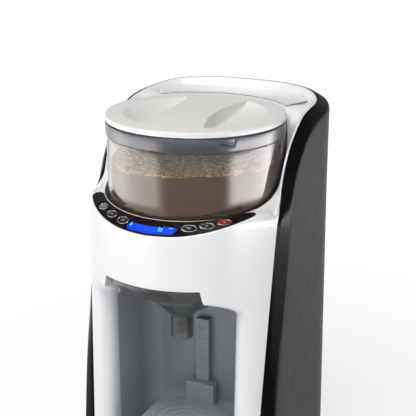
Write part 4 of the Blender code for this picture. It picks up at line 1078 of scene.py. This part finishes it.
def window_rows(pad, lift, na=24, nf=6, fit=0.0):
    """The display's four-sided window, with leaning ends."""
    rows = []
    for i in range(nf + 1):
        f = mix(F0 - pad * 0.06, F1 + pad * 0.06, i / nf)
        row = []
        for k in range(na + 1):
            a = mix(A0 - 1.2 * (f - 0.49) / 0.25 - pad * 0.6, A1 - 2.0 * (f - 0.49) / 0.25 + pad * 0.6, k / na)
            here, _, _, out = panel_frame(a, f)
            row.append(tuple(here + out * lift))
        rows.append(row)
    return rows


def window_block(bm):
    slab_bm(bm, window_rows(0.25, 4.0), 10.0)


carve(panel, *cuts, cutter("window_gap", window_block))
bevel(panel, 0.45, 3, 40.0)

bm = bmesh.new()
slab_bm(bm, window_rows(-0.1, -0.15), 2.4)
display = finish_mesh("display", bm, LCD, "chassis", slot="display_blue", replaces=("display_module",), sharp=40)


def glyph(name, strokes, a, f, size, mat, body, lift, width=0.42, depth=0.12):
    """Flat strokes on the control face: each is a line of (across, up) points."""
    here, across, up, out = panel_frame(a, f)
    bm = bmesh.new()
    for line in strokes:
        for (x0, y0), (x1, y1) in zip(line, line[1:]):
            p, q = Vector((x0, y0)) * size, Vector((x1, y1)) * size
            d = (q - p).normalized()
            nrm = Vector((-d.y, d.x)) * width / 2
            p, q = p - d * width / 2, q + d * width / 2
            quad = [p + nrm, q + nrm, q - nrm, p - nrm]
            low = [bm.verts.new(m(here + across * v.x + up * v.y + out * lift)) for v in quad]
            high = [bm.verts.new(m(here + across * v.x + up * v.y + out * (lift + depth))) for v in quad]
            bm.faces.new(high)
            bm.faces.new(low[::-1])
            for k in range(4):
                bm.faces.new((low[k], low[(k + 1) % 4], high[(k + 1) % 4], high[k]))
    return finish_mesh(name, bm, mat, body, smooth_faces=False, weld=0)


glyph("display_digit", [[(0.5, 1.0), (-0.5, 1.0), (-0.5, 0.0), (0.5, 0.0), (0.5, -1.0), (-0.5, -1.0), (-0.5, 0.0)]], 6.6, 0.49, 2.55, LCD_LIGHT, "chassis", 0.0, 0.7)
glyph("display_bottle", [[(-0.45, -1.0), (0.45, -1.0), (0.45, 0.2), (-0.45, 0.2), (-0.45, -1.0)], [(-0.2, 0.35), (0.2, 0.35)], [(0.0, 0.35), (0.0, 0.9)], [(-0.2, -0.4), (0.2, -0.4)], [(-0.2, -0.75), (0.2, -0.75)]], -11.4, 0.50, 1.5, LCD_LIGHT, "chassis", 0.0, 0.5)
glyph("display_bars", [[(-1.0, 0.0), (-0.4, 0.0)], [(0.0, 0.0), (0.6, 0.0)]], 12.4, 0.45, 1.7, LCD_LIGHT, "chassis", 0.0, 0.6)

MARKS = {
    "mode_button": [[(-1.4, 0.0), (-0.3, 0.0)], [(0.3, 0.0), (1.4, 0.0)], [(-0.85, 0.55), (0.85, 0.55)], [(-0.85, -0.55), (0.85, -0.55)]],
    "volume_button": [[(-1.2, -0.6), (0.0, 0.55), (1.2, -0.6)], [(-1.2, 0.15), (-0.8, 0.15)], [(0.8, 0.15), (1.2, 0.15)]],
    "heat_button": [[(-1.0, -0.6), (-0.8, -0.1), (-1.0, 0.3), (-0.8, 0.7)], [(-0.1, -0.6), (0.1, -0.1), (-0.1, 0.3), (0.1, 0.7)], [(0.8, -0.6), (1.0, -0.1), (0.8, 0.3), (1.0, 0.7)]],
    "powder_button": [[(-1.3, 0.5), (1.3, 0.5)], [(-0.9, 0.0), (0.9, 0.0)], [(-0.5, -0.5), (0.5, -0.5)]],
    "start_button": [[(-0.5, -0.65), (0.7, 0.0), (-0.5, 0.65), (-0.5, -0.65)]],
    "stop_button": [[(-0.55, -0.55), (0.55, -0.55), (0.55, 0.55), (-0.55, 0.55), (-0.55, -0.55)]],
}


def key_cap(name, body, angle):
    here, across, up, out = panel_frame(angle)
    n = 56
    profile = [(0.0, 0.95), (0.45, 0.93), (0.75, 0.86), (0.90, 0.76), (0.965, 0.60), (0.985, 0.40), (0.985, -4.1), (0.80, -4.1), (0.0, -4.1)]
    rows = []
    for s_, h in profile:
        q = max(s_, 0.02)
        rows.append([tuple(here + across * (6.5 * q * cos(360 * k / n)) + up * (3.9 * q * sin(360 * k / n)) + out * h) for k in range(n)])
    bm = bmesh.new()
    weave(bm, rows, loop=True, cap_first=True, cap_last=True)
    colour = KEY_RED if name == "stop_button" else KEY
    finish_mesh(name.replace("button", "cap"), bm, colour, body, slot="button_black", replaces=(name,), out=tuple(out), sharp=40)
    glyph(name.replace("button", "mark"), MARKS[name], angle, 0.5, 1.5, PRINT, body, 0.84, 0.34)
    rims = [("rim", SILVER, 5.75, 3.35, 6.5, 3.95, body)]
    if name == "start_button":
        rims.append(("ring", RIM_GREEN, 4.75, 2.5, 5.65, 3.25, body))
    for tag, mat, ax, ay, bx, by, owner in rims:
        bm = bmesh.new()
        rows = []
        for t in range(12):
            c, s_ = cos(30 * t), sin(30 * t)
            mx, my, wx, wy = (ax + bx) / 2, (ay + by) / 2, (bx - ax) / 2, (by - ay) / 2
            lift = 0.62 if tag == "rim" else 0.86
            rows.append([tuple(here + across * ((mx + wx * c) * cos(360 * k / n)) + up * ((my + wy * c) * sin(360 * k / n)) + out * (lift + 0.42 * s_)) for k in range(n)])
        weave(bm, rows + [rows[0]], loop=True)
        finish_mesh(name.replace("button", tag), bm, mat, owner, weld=1e-6, out=tuple(out), sharp=80)


for name, key_body, angle in KEYS:
    key_cap(name, key_body, angle)

# ------------------------------------------------------------------ funnel
LIP_A = 26.6


def lip_points(f, t, drop=0.0):
    """The drawer front: f from its foot to its top edge, t from -1 to 1 across."""
    a = LIP_A * t * (1.0 + 0.42 * (1 - f))
    top = head_radius(LIP_A * t, 237.0) - 0.4
    return polar(mix(78.5, top, f ** 0.9), a, 219.2 + 18.6 * f - drop)


bm = bmesh.new()
rows = [[lip_points(i / 10, -1 + j / 20) for j in range(41)] for i in range(11)]
weave(bm, rows)
lip = finish_mesh("funnel_front", bm, SMOKE, "funnel_body", slot="smoke_plastic", out=(0, -1, 0.2))
solidify(lip, 2.0)
bevel(lip, 0.5, 3, 50.0)

bm = bmesh.new()
for sign in (-1, 1):
    rows = []
    for z in (226.6, 240.0):
        near = 45.3 + (239.0 - z) * 0.236
        rows.append([(sign * (near + dx), y, z) for dx, y in ((0.05, -84.8), (0.05, -64.0), (1.7, -64.0), (1.7, -84.8))])
    weave(bm, rows, loop=True, cap_first=True, cap_last=True)
finish_mesh("lip_cheeks", bm, WHITE, "chassis", slot="white_shell", smooth_faces=False)

bm = bmesh.new()
prism(round_outline([(-43.5, -77.8), (43.5, -77.8), (43.5, 3.8), (-43.5, 3.8)], 9.0, 6), 217.5, 230.8)(bm)
tray = finish_mesh("funnel_drawer", bm, SMOKE, "funnel_body", slot="smoke_plastic", replaces=("funnel",), sharp=40)
room = cutter("room", prism(round_outline([(-41.6, -75.9), (41.6, -75.9), (41.6, 1.9), (-41.6, 1.9)], 7.4, 6), 219.5, 240.0))
throat_rows = [(33.0, 222.0), (33.0, 216.0)]
throat = cutter("throat", prism([(32.6 * cos(6 * k), NOZZLE_Y + 32.6 * sin(6 * k)) for k in range(60)], 210.0, 225.0))
carve(tray, room, throat)
bevel(tray, 0.6, 3, 40.0)
cone_profile = fillet([(33.4, 219.4), (33.4, 217.0), (29.6, 207.2), (10.7, 187.4), (10.2, NOZZLE_TIP + 0.1), (8.5, NOZZLE_TIP + 0.1), (8.8, 188.2), (28.0, 208.6), (31.6, 217.6), (31.6, 219.4), (33.4, 219.4)],
                      (0.8, 3.0, 2.2, 0.5, 0.5, 2.2, 3.0, 0.8, 0.5), 5)
bm = bmesh.new()
rows = [[(r * cos(3.75 * k), NOZZLE_Y + r * sin(3.75 * k), z) for k in range(96)] for r, z in cone_profile]
weave(bm, rows, loop=True)
finish_mesh("funnel_cone", bm, SMOKE, "funnel_body", slot="smoke_plastic", weld=2e-6, out=(0, -1, 0))


# ------------------------------------------------------------------ front bay
def liner_plan(grow, front, n=14):
    half, back, r = BAY_X + grow, BAY_BACK + grow, 16.0 + grow
    pts = [(-half, front), (half, front)]
    for k in range(n + 1):
        pts.append((half - r + r * cos(90 * k / n), back - r + r * sin(90 * k / n)))
    for k in range(n + 1):
        pts.append((-half + r - r * sin(90 * k / n), back - r + r * cos(90 * k / n)))
    return pts


bm = bmesh.new()
prism(liner_plan(1.9, FLANGE_Y + 0.3), 31.0, BAY_TOP + 1.5)(bm)
liner = finish_mesh("bay_lining", bm, LINER, "chassis", slot="bay_grey", replaces=("bay_liner",), sharp=35)
carve(liner, cutter("bay_room", prism(liner_plan(0.0, -160.0), 10.0, BAY_TOP - 0.4)), cutter("roof_gap", block((-44.9, -140.0, 205.0), (44.9, 7.0, 240.0))))
bevel(liner, 0.4, 2, 50.0)


def stadium(half_x, y0, y1, radius, steps=12):
    pts = []
    for cx, cy, start in ((half_x - radius, y0 + radius, -90), (half_x - radius, y1 - radius, 0), (-half_x + radius, y1 - radius, 90), (-half_x + radius, y0 + radius, 180)):
        for k in range(steps + 1):
            a = start + 90 * k / steps
            pts.append((cx + radius * cos(a), cy + radius * sin(a)))
    return pts


stand = plate("bottle_shelf", stadium(40.0, -72.0, 11.0, 26.0), 73.0, 77.0, LINER, "stand", 1.2, 4, slot="bay_grey", replaces=("bottle_stand",))
grooves = []
for k, r in enumerate((12.0, 20.0, 28.0)):
    def ring_groove(bm, r=r):
        rows = [[(rr * cos(6 * q), NOZZLE_Y + rr * sin(6 * q), z) for q in range(60)] for rr, z in ((r, 76.3), (r + 1.2, 76.3), (r + 1.2, 80.0), (r, 80.0))]
        weave(bm, rows + [rows[0]], loop=True)
        bmesh.ops.remove_doubles(bm, verts=bm.verts, dist=1e-6)
    grooves.append(cutter(f"groove_{k}", ring_groove))
bm = bmesh.new()
prism(round_outline([(-15.0, 6.0), (15.0, 6.0), (15.0, 17.0), (7.8, 17.0), (7.8, 12.3), (-7.8, 12.3), (-7.8, 17.0), (-15.0, 17.0)], 1.0, 3), 73.4, 98.0)(bm)
carriage = finish_mesh("shelf_carriage", bm, LINER, "stand", slot="bay_grey", sharp=35)
bevel(carriage, 0.6, 3, 50.0)
carve(stand, *grooves)
stand.data.set_sharp_from_angle(angle=math.radians(40))

bm = bmesh.new()
prism([(-7.0, 12.7), (7.0, 12.7), (7.0, 15.3), (4.6, 15.3), (4.6, 17.5), (7.0, 17.5), (7.0, 19.6), (-7.0, 19.6), (-7.0, 17.5), (-4.6, 17.5), (-4.6, 15.3), (-7.0, 15.3)], 34.0, 164.0)(bm)
rail = finish_mesh("shelf_rail", bm, LINER, "chassis", slot="bay_grey", replaces=("stand_rail",), sharp=35)
teeth = []
for k in range(11):
    z = 44.0 + 11.0 * k
    teeth.append(cutter(f"tooth_{k}", block((-3.0, 12.0, z), (3.0, 13.4, z + 3.0))))
carve(rail, *teeth)
bevel(rail, 0.35, 2, 50.0)


def tray_plan(inset, n=30):
    half, back = 58.6 - inset, 17.0 - inset
    pts = [(half, back - 8), (half - 2.4, back - 2.4), (half - 8, back), (-half + 8, back), (-half + 2.4, back - 2.4), (-half, back - 8), (-half, -72.0)]
    for k in range(-n, n + 1):
        x = half * math.sin(math.radians(36.0 * k / n)) / math.sin(math.radians(36.0))
        pts.append((x, TRAY_FRONT + inset + 27.0 * (abs(x) / half) ** 2.4))
    pts.append((half, -72.0))
    clean = [pts[0]]
    for p in pts[1:]:
        if math.dist(p, clean[-1]) > 0.3:
            clean.append(p)
    return clean


tub = plate("spill_tray", tray_plan(0.0), 7.2, 26.9, BLACK, "tray", 0, slot="black_plastic", replaces=("drip_tray",), sharp=35)
carve(tub, cutter("tub_room", prism(tray_plan(2.4), 9.6, 40.0)))
bevel(tub, 0.8, 3, 50.0)
grille = plate("spill_grille", tray_plan(0.5), 27.3, 29.5, LINER, "grille", 0, slot="bay_grey", replaces=("tray_grille",), sharp=35)
slots = [cutter(f"grille_slot_{k}", prism(stadium(44.0, -92.0 + 14.5 * k, -86.0 + 14.5 * k, 2.9, 6), 20.0, 40.0)) for k in range(7)]
carve(grille, *slots, cutter("rail_notch", prism(round_outline([(-7.9, 12.0), (7.9, 12.0), (7.9, 30.0), (-7.9, 30.0)], 1.0, 3), 20.0, 40.0)))
bevel(grille, 0.55, 3, 50.0)


# ------------------------------------------------------------------ tank and its lid
def tank_lid_outline(inset):
    pts = []
    for k in range(51):
        a = 230.0 - 2.0 * k
        pts.append(polar(WELL_R + 1.2 + inset, a if a <= 180 else a - 360, 0)[:2])
    for k in range(61):
        a = 137.0 + (223.0 - 137.0) * k / 60
        pts.append(rim(a if a <= 180 else a - 360, 7.2 + inset))
    return pts


cover = plate("tank_cover", tank_lid_outline(0.9), LID_TOP + 0.15, LID_TOP + 1.0, WHITE, "tank_cover", 0, slot="white_shell", replaces=("tank_lid",), sharp=35)
finger = [(-67.5 + 4.4 * cos(12 * k), 53.6 + 4.4 * sin(12 * k)) for k in range(30)]
carve(cover, cutter("finger_notch", prism(finger, LID_TOP + 0.55, LID_TOP + 9.0)))
bevel(cover, 0.35, 3, 40.0)

bm = bmesh.new()
prism(tank_outline(0.1, 40), TANK_LOW, TANK_TOP - 0.1)(bm)
tank = finish_mesh("tank_body", bm, SMOKE, "tank", slot="smoke_plastic", replaces=("water_tank",), sharp=40)
port = [(6.0 * cos(10 * k), 99.2 + 6.0 * sin(10 * k)) for k in range(36)]
carve(tank, cutter("tank_room", prism(tank_outline(2.2, 40), TANK_LOW + 3.0, TANK_TOP + 20.0)), cutter("tank_port", prism(port, 40.0, 90.0)))
bevel(tank, 0.5, 2, 45.0)

# ------------------------------------------------------------------ inlet pins
bm = bmesh.new()
for x in (45.5, 55.5):
    made = bmesh.ops.create_cone(bm, cap_ends=True, segments=20, radius1=0.0012, radius2=0.0012, depth=0.010)
    for v in made["verts"]:
        co = v.co.copy()
        v.co = m((x + co.x * 1000, 113.2 + co.z * 1000, 26.0 + co.y * 1000))
pins = finish_mesh("inlet_pins", bm, STEEL, "chassis", slot="steel", weld=0)

# ------------------------------------------------------------------ the rest of the frame
LOOKS = {
    "hopper_deck": WHITE, "lid_seal": SILICONE, "stirring_wheel": ACETAL, "drive_gear": ACETAL, "motor_pinion": STEEL,
    "gear_plate": STEEL, "drive_motor": STEEL, "powder_chute": ACETAL, "water_spout": SILICONE, "tank_valve": SILICONE,
    "tank_dock": BLACK, "tank_shelf": BLACK, "water_pump": BLACK, "water_heater": ALLOY, "heater_bracket": STEEL,
    "dock_hose": SILICONE, "pump_hose": SILICONE, "spout_hose": SILICONE, "control_board": BOARD, "power_board": BOARD,
    "power_supply": BLACK, "power_inlet": BLACK, "base_plate": BLACK,
    "base_screw_1": STEEL, "base_screw_2": STEEL, "base_screw_3": STEEL, "base_screw_4": STEEL,
    "foot_front_left": RUBBER, "foot_front_right": RUBBER, "foot_rear_left": RUBBER, "foot_rear_right": RUBBER,
}
for name, mat in LOOKS.items():
    node = NODES[name]
    node.data.materials.clear()
    node.data.materials.append(mat)
for name in ("foot_front_left", "foot_front_right", "foot_rear_left", "foot_rear_right"):
    bevel(NODES[name], 0.5, 3, 30.0)

# ------------------------------------------------------------------ camera
cam_data = bpy.data.cameras.new("camera")
cam_data.lens = 36.0 * 1000.0 / 416.0
cam_data.sensor_width = 36.0
cam_data.sensor_fit = "HORIZONTAL"
camera = bpy.data.objects.new("camera", cam_data)
scene.collection.objects.link(camera)
camera.location = (0.37961, -0.79491, 0.56781)
camera.rotation_euler = (math.radians(90.0 - 18.15), 0.0, math.radians(25.0))
scene.camera = camera

# ------------------------------------------------------------------ studio
scene.view_settings.view_transform = "Standard"
world = bpy.data.worlds.new("studio")
world.use_nodes = True
tree = world.node_tree
where = tree.nodes.new("ShaderNodeTexCoord")
split = tree.nodes.new("ShaderNodeSeparateXYZ")
fade = tree.nodes.new("ShaderNodeValToRGB")
fade.color_ramp.elements[0].position, fade.color_ramp.elements[0].color = 0.0, (0.50, 0.508, 0.525, 1.0)
fade.color_ramp.elements[1].position, fade.color_ramp.elements[1].color = 0.85, (0.16, 0.155, 0.155, 1.0)
tree.links.new(where.outputs["Generated"], split.inputs["Vector"])
tree.links.new(split.outputs["Z"], fade.inputs["Fac"])
sweep = tree.nodes.new("ShaderNodeMapRange")
sweep.inputs["From Min"].default_value, sweep.inputs["From Max"].default_value = -0.9, 0.9
sweep.inputs["To Min"].default_value, sweep.inputs["To Max"].default_value = 0.95, 0.66
tree.links.new(split.outputs["X"], sweep.inputs["Value"])
tint = tree.nodes.new("ShaderNodeVectorMath")
tint.operation = "SCALE"
tree.links.new(fade.outputs["Color"], tint.inputs["Vector"])
tree.links.new(sweep.outputs["Result"], tint.inputs["Scale"])
tree.links.new(tint.outputs["Vector"], tree.nodes["Background"].inputs["Color"])
tree.nodes["Background"].inputs["Strength"].default_value = 1.0
scene.world = world

bm = bmesh.new()
bmesh.ops.create_circle(bm, cap_ends=True, radius=14.0, segments=96)
mesh = bpy.data.meshes.new("floor")
bm.to_mesh(mesh)
bm.free()
floor = bpy.data.objects.new("floor", mesh)
scene.collection.objects.link(floor)
floor_mat = principled("floor_pale", (0.34, 0.34, 0.34), 0.7, specular=0.05)
floor_mat.node_tree.nodes["Principled BSDF"].inputs["Emission Color"].default_value = (0.99, 0.99, 1.0, 1)
floor_mat.node_tree.nodes["Principled BSDF"].inputs["Emission Strength"].default_value = 0.78
# the paper brightens away from the machine
spot = floor_mat.node_tree.nodes.new("ShaderNodeVectorMath")
spot.operation = "LENGTH"
floor_mat.node_tree.links.new(coords(floor_mat), spot.inputs[0])
reach = floor_mat.node_tree.nodes.new("ShaderNodeMapRange")
reach.inputs["From Min"].default_value, reach.inputs["From Max"].default_value = 0.35, 1.3
reach.inputs["To Min"].default_value, reach.inputs["To Max"].default_value = 0.74, 1.0
floor_mat.node_tree.links.new(spot.outputs["Value"], reach.inputs["Value"])
into(floor_mat, reach.outputs["Result"], "Emission Strength")
floor.data.materials.append(floor_mat)


# white paper far behind, so that low views end in white
bm = bmesh.new()
ring_low = [bm.verts.new((13.0 * cos(5 * k), 13.0 * sin(5 * k), -0.05)) for k in range(72)]
ring_high = [bm.verts.new((13.0 * cos(5 * k), 13.0 * sin(5 * k), 14.0)) for k in range(72)]
for k in range(72):
    bm.faces.new((ring_low[k], ring_low[(k + 1) % 72], ring_high[(k + 1) % 72], ring_high[k]))
mesh = bpy.data.meshes.new("paper_back")
bm.to_mesh(mesh)
bm.free()
mesh.materials.append(principled("paper_white", (0.0, 0.0, 0.0), 1.0, specular=0.0, emission=(1.0, 1.0, 1.0), emission_strength=1.0))
paper = bpy.data.objects.new("paper_back", mesh)
scene.collection.objects.link(paper)
paper.visible_diffuse = paper.visible_glossy = paper.visible_shadow = False


def softbox(name, azimuth, elevation, distance, size, radiance, colour=(1, 1, 1), aim=(0, 0, 0.25)):
    """A rectangular light that faces the object from the given side."""
    where = Vector(aim) + Vector((sin(azimuth) * cos(elevation), -cos(azimuth) * cos(elevation), sin(elevation))) * distance
    light = bpy.data.lights.new(name, "AREA")
    light.shape = "RECTANGLE"
    light.size, light.size_y = size
    light.energy = radiance * math.pi * size[0] * size[1]
    light.color = colour
    obj = bpy.data.objects.new(name, light)
    scene.collection.objects.link(obj)
    obj.location = where
    obj.rotation_euler = (Vector(aim) - where).to_track_quat("-Z", "Y").to_euler()
    obj.visible_camera = False
    return obj


def card(name, points, radiance, colour=(1, 1, 1), soft=(3, 3, 2)):
    """A card that only reflections see, fading out over a few faces at its left, right, top and bottom."""
    bm = bmesh.new()
    fade = bm.verts.layers.float.new("fade")
    grid = []
    high, wide = len(points) - 1, len(points[0]) - 1
    for i, row in enumerate(points):
        grid.append([])
        for j, p in enumerate(row):
            v = bm.verts.new(p)
            v[fade] = min(smooth(j, 0, soft[0]), smooth(wide - j, 0, soft[1]), smooth(i, 0, soft[2]), smooth(high - i, 0, soft[2]))
            grid[-1].append(v)
    for a, b in zip(grid, grid[1:]):
        for j in range(len(a) - 1):
            bm.faces.new((a[j], a[j + 1], b[j + 1], b[j]))
    mesh = bpy.data.meshes.new(name)
    bm.to_mesh(mesh)
    bm.free()
    mat = principled(name, (0.0, 0.0, 0.0), 1.0, specular=0.0, emission=colour, emission_strength=radiance)
    share = mat.node_tree.nodes.new("ShaderNodeAttribute")
    share.attribute_name = "fade"
    into(mat, share.outputs["Fac"], "Alpha")
    mesh.materials.append(mat)
    obj = bpy.data.objects.new(name, mesh)
    scene.collection.objects.link(obj)
    obj.visible_camera = obj.visible_diffuse = obj.visible_transmission = obj.visible_shadow = obj.visible_volume_scatter = False
    return obj


def wall(az0, az1, distance, z0, z1, n=24, rows=6):
    return [[(distance * sin(mix(az0, az1, k / n)), -distance * cos(mix(az0, az1, k / n)), mix(z0, z1, i / rows)) for k in range(n + 1)] for i in range(rows + 1)]


softbox("box_left", -38.0, 60.0, 2.1, (1.1, 1.1), 4.5, (1.0, 0.98, 0.955))
softbox("box_front", 12.0, 53.0, 1.9, (1.2, 0.9), 5.3, (1.0, 0.995, 0.985))
softbox("box_back", -126.0, 27.0, 2.1, (0.6, 0.4), 1.0, (1.0, 0.985, 0.97))
card("flag_front", [[(r * sin(a), -r * cos(a), 0.003) for a in range(-18, 68, 5)] for r in (0.30, 0.36, 0.42, 1.2, 1.6, 1.8)], 0.02, soft=(2, 2, 1))
card("strip_left", wall(-14.0, -108.0, 0.62, 0.108, 0.27, rows=12), 5.6, (1.0, 0.975, 0.96), soft=(3, 10, 1))
card("strip_right", wall(60.0, 140.0, 0.62, 0.118, 0.27, rows=12), 11.0, (1.0, 0.975, 0.98), soft=(4, 5, 1))
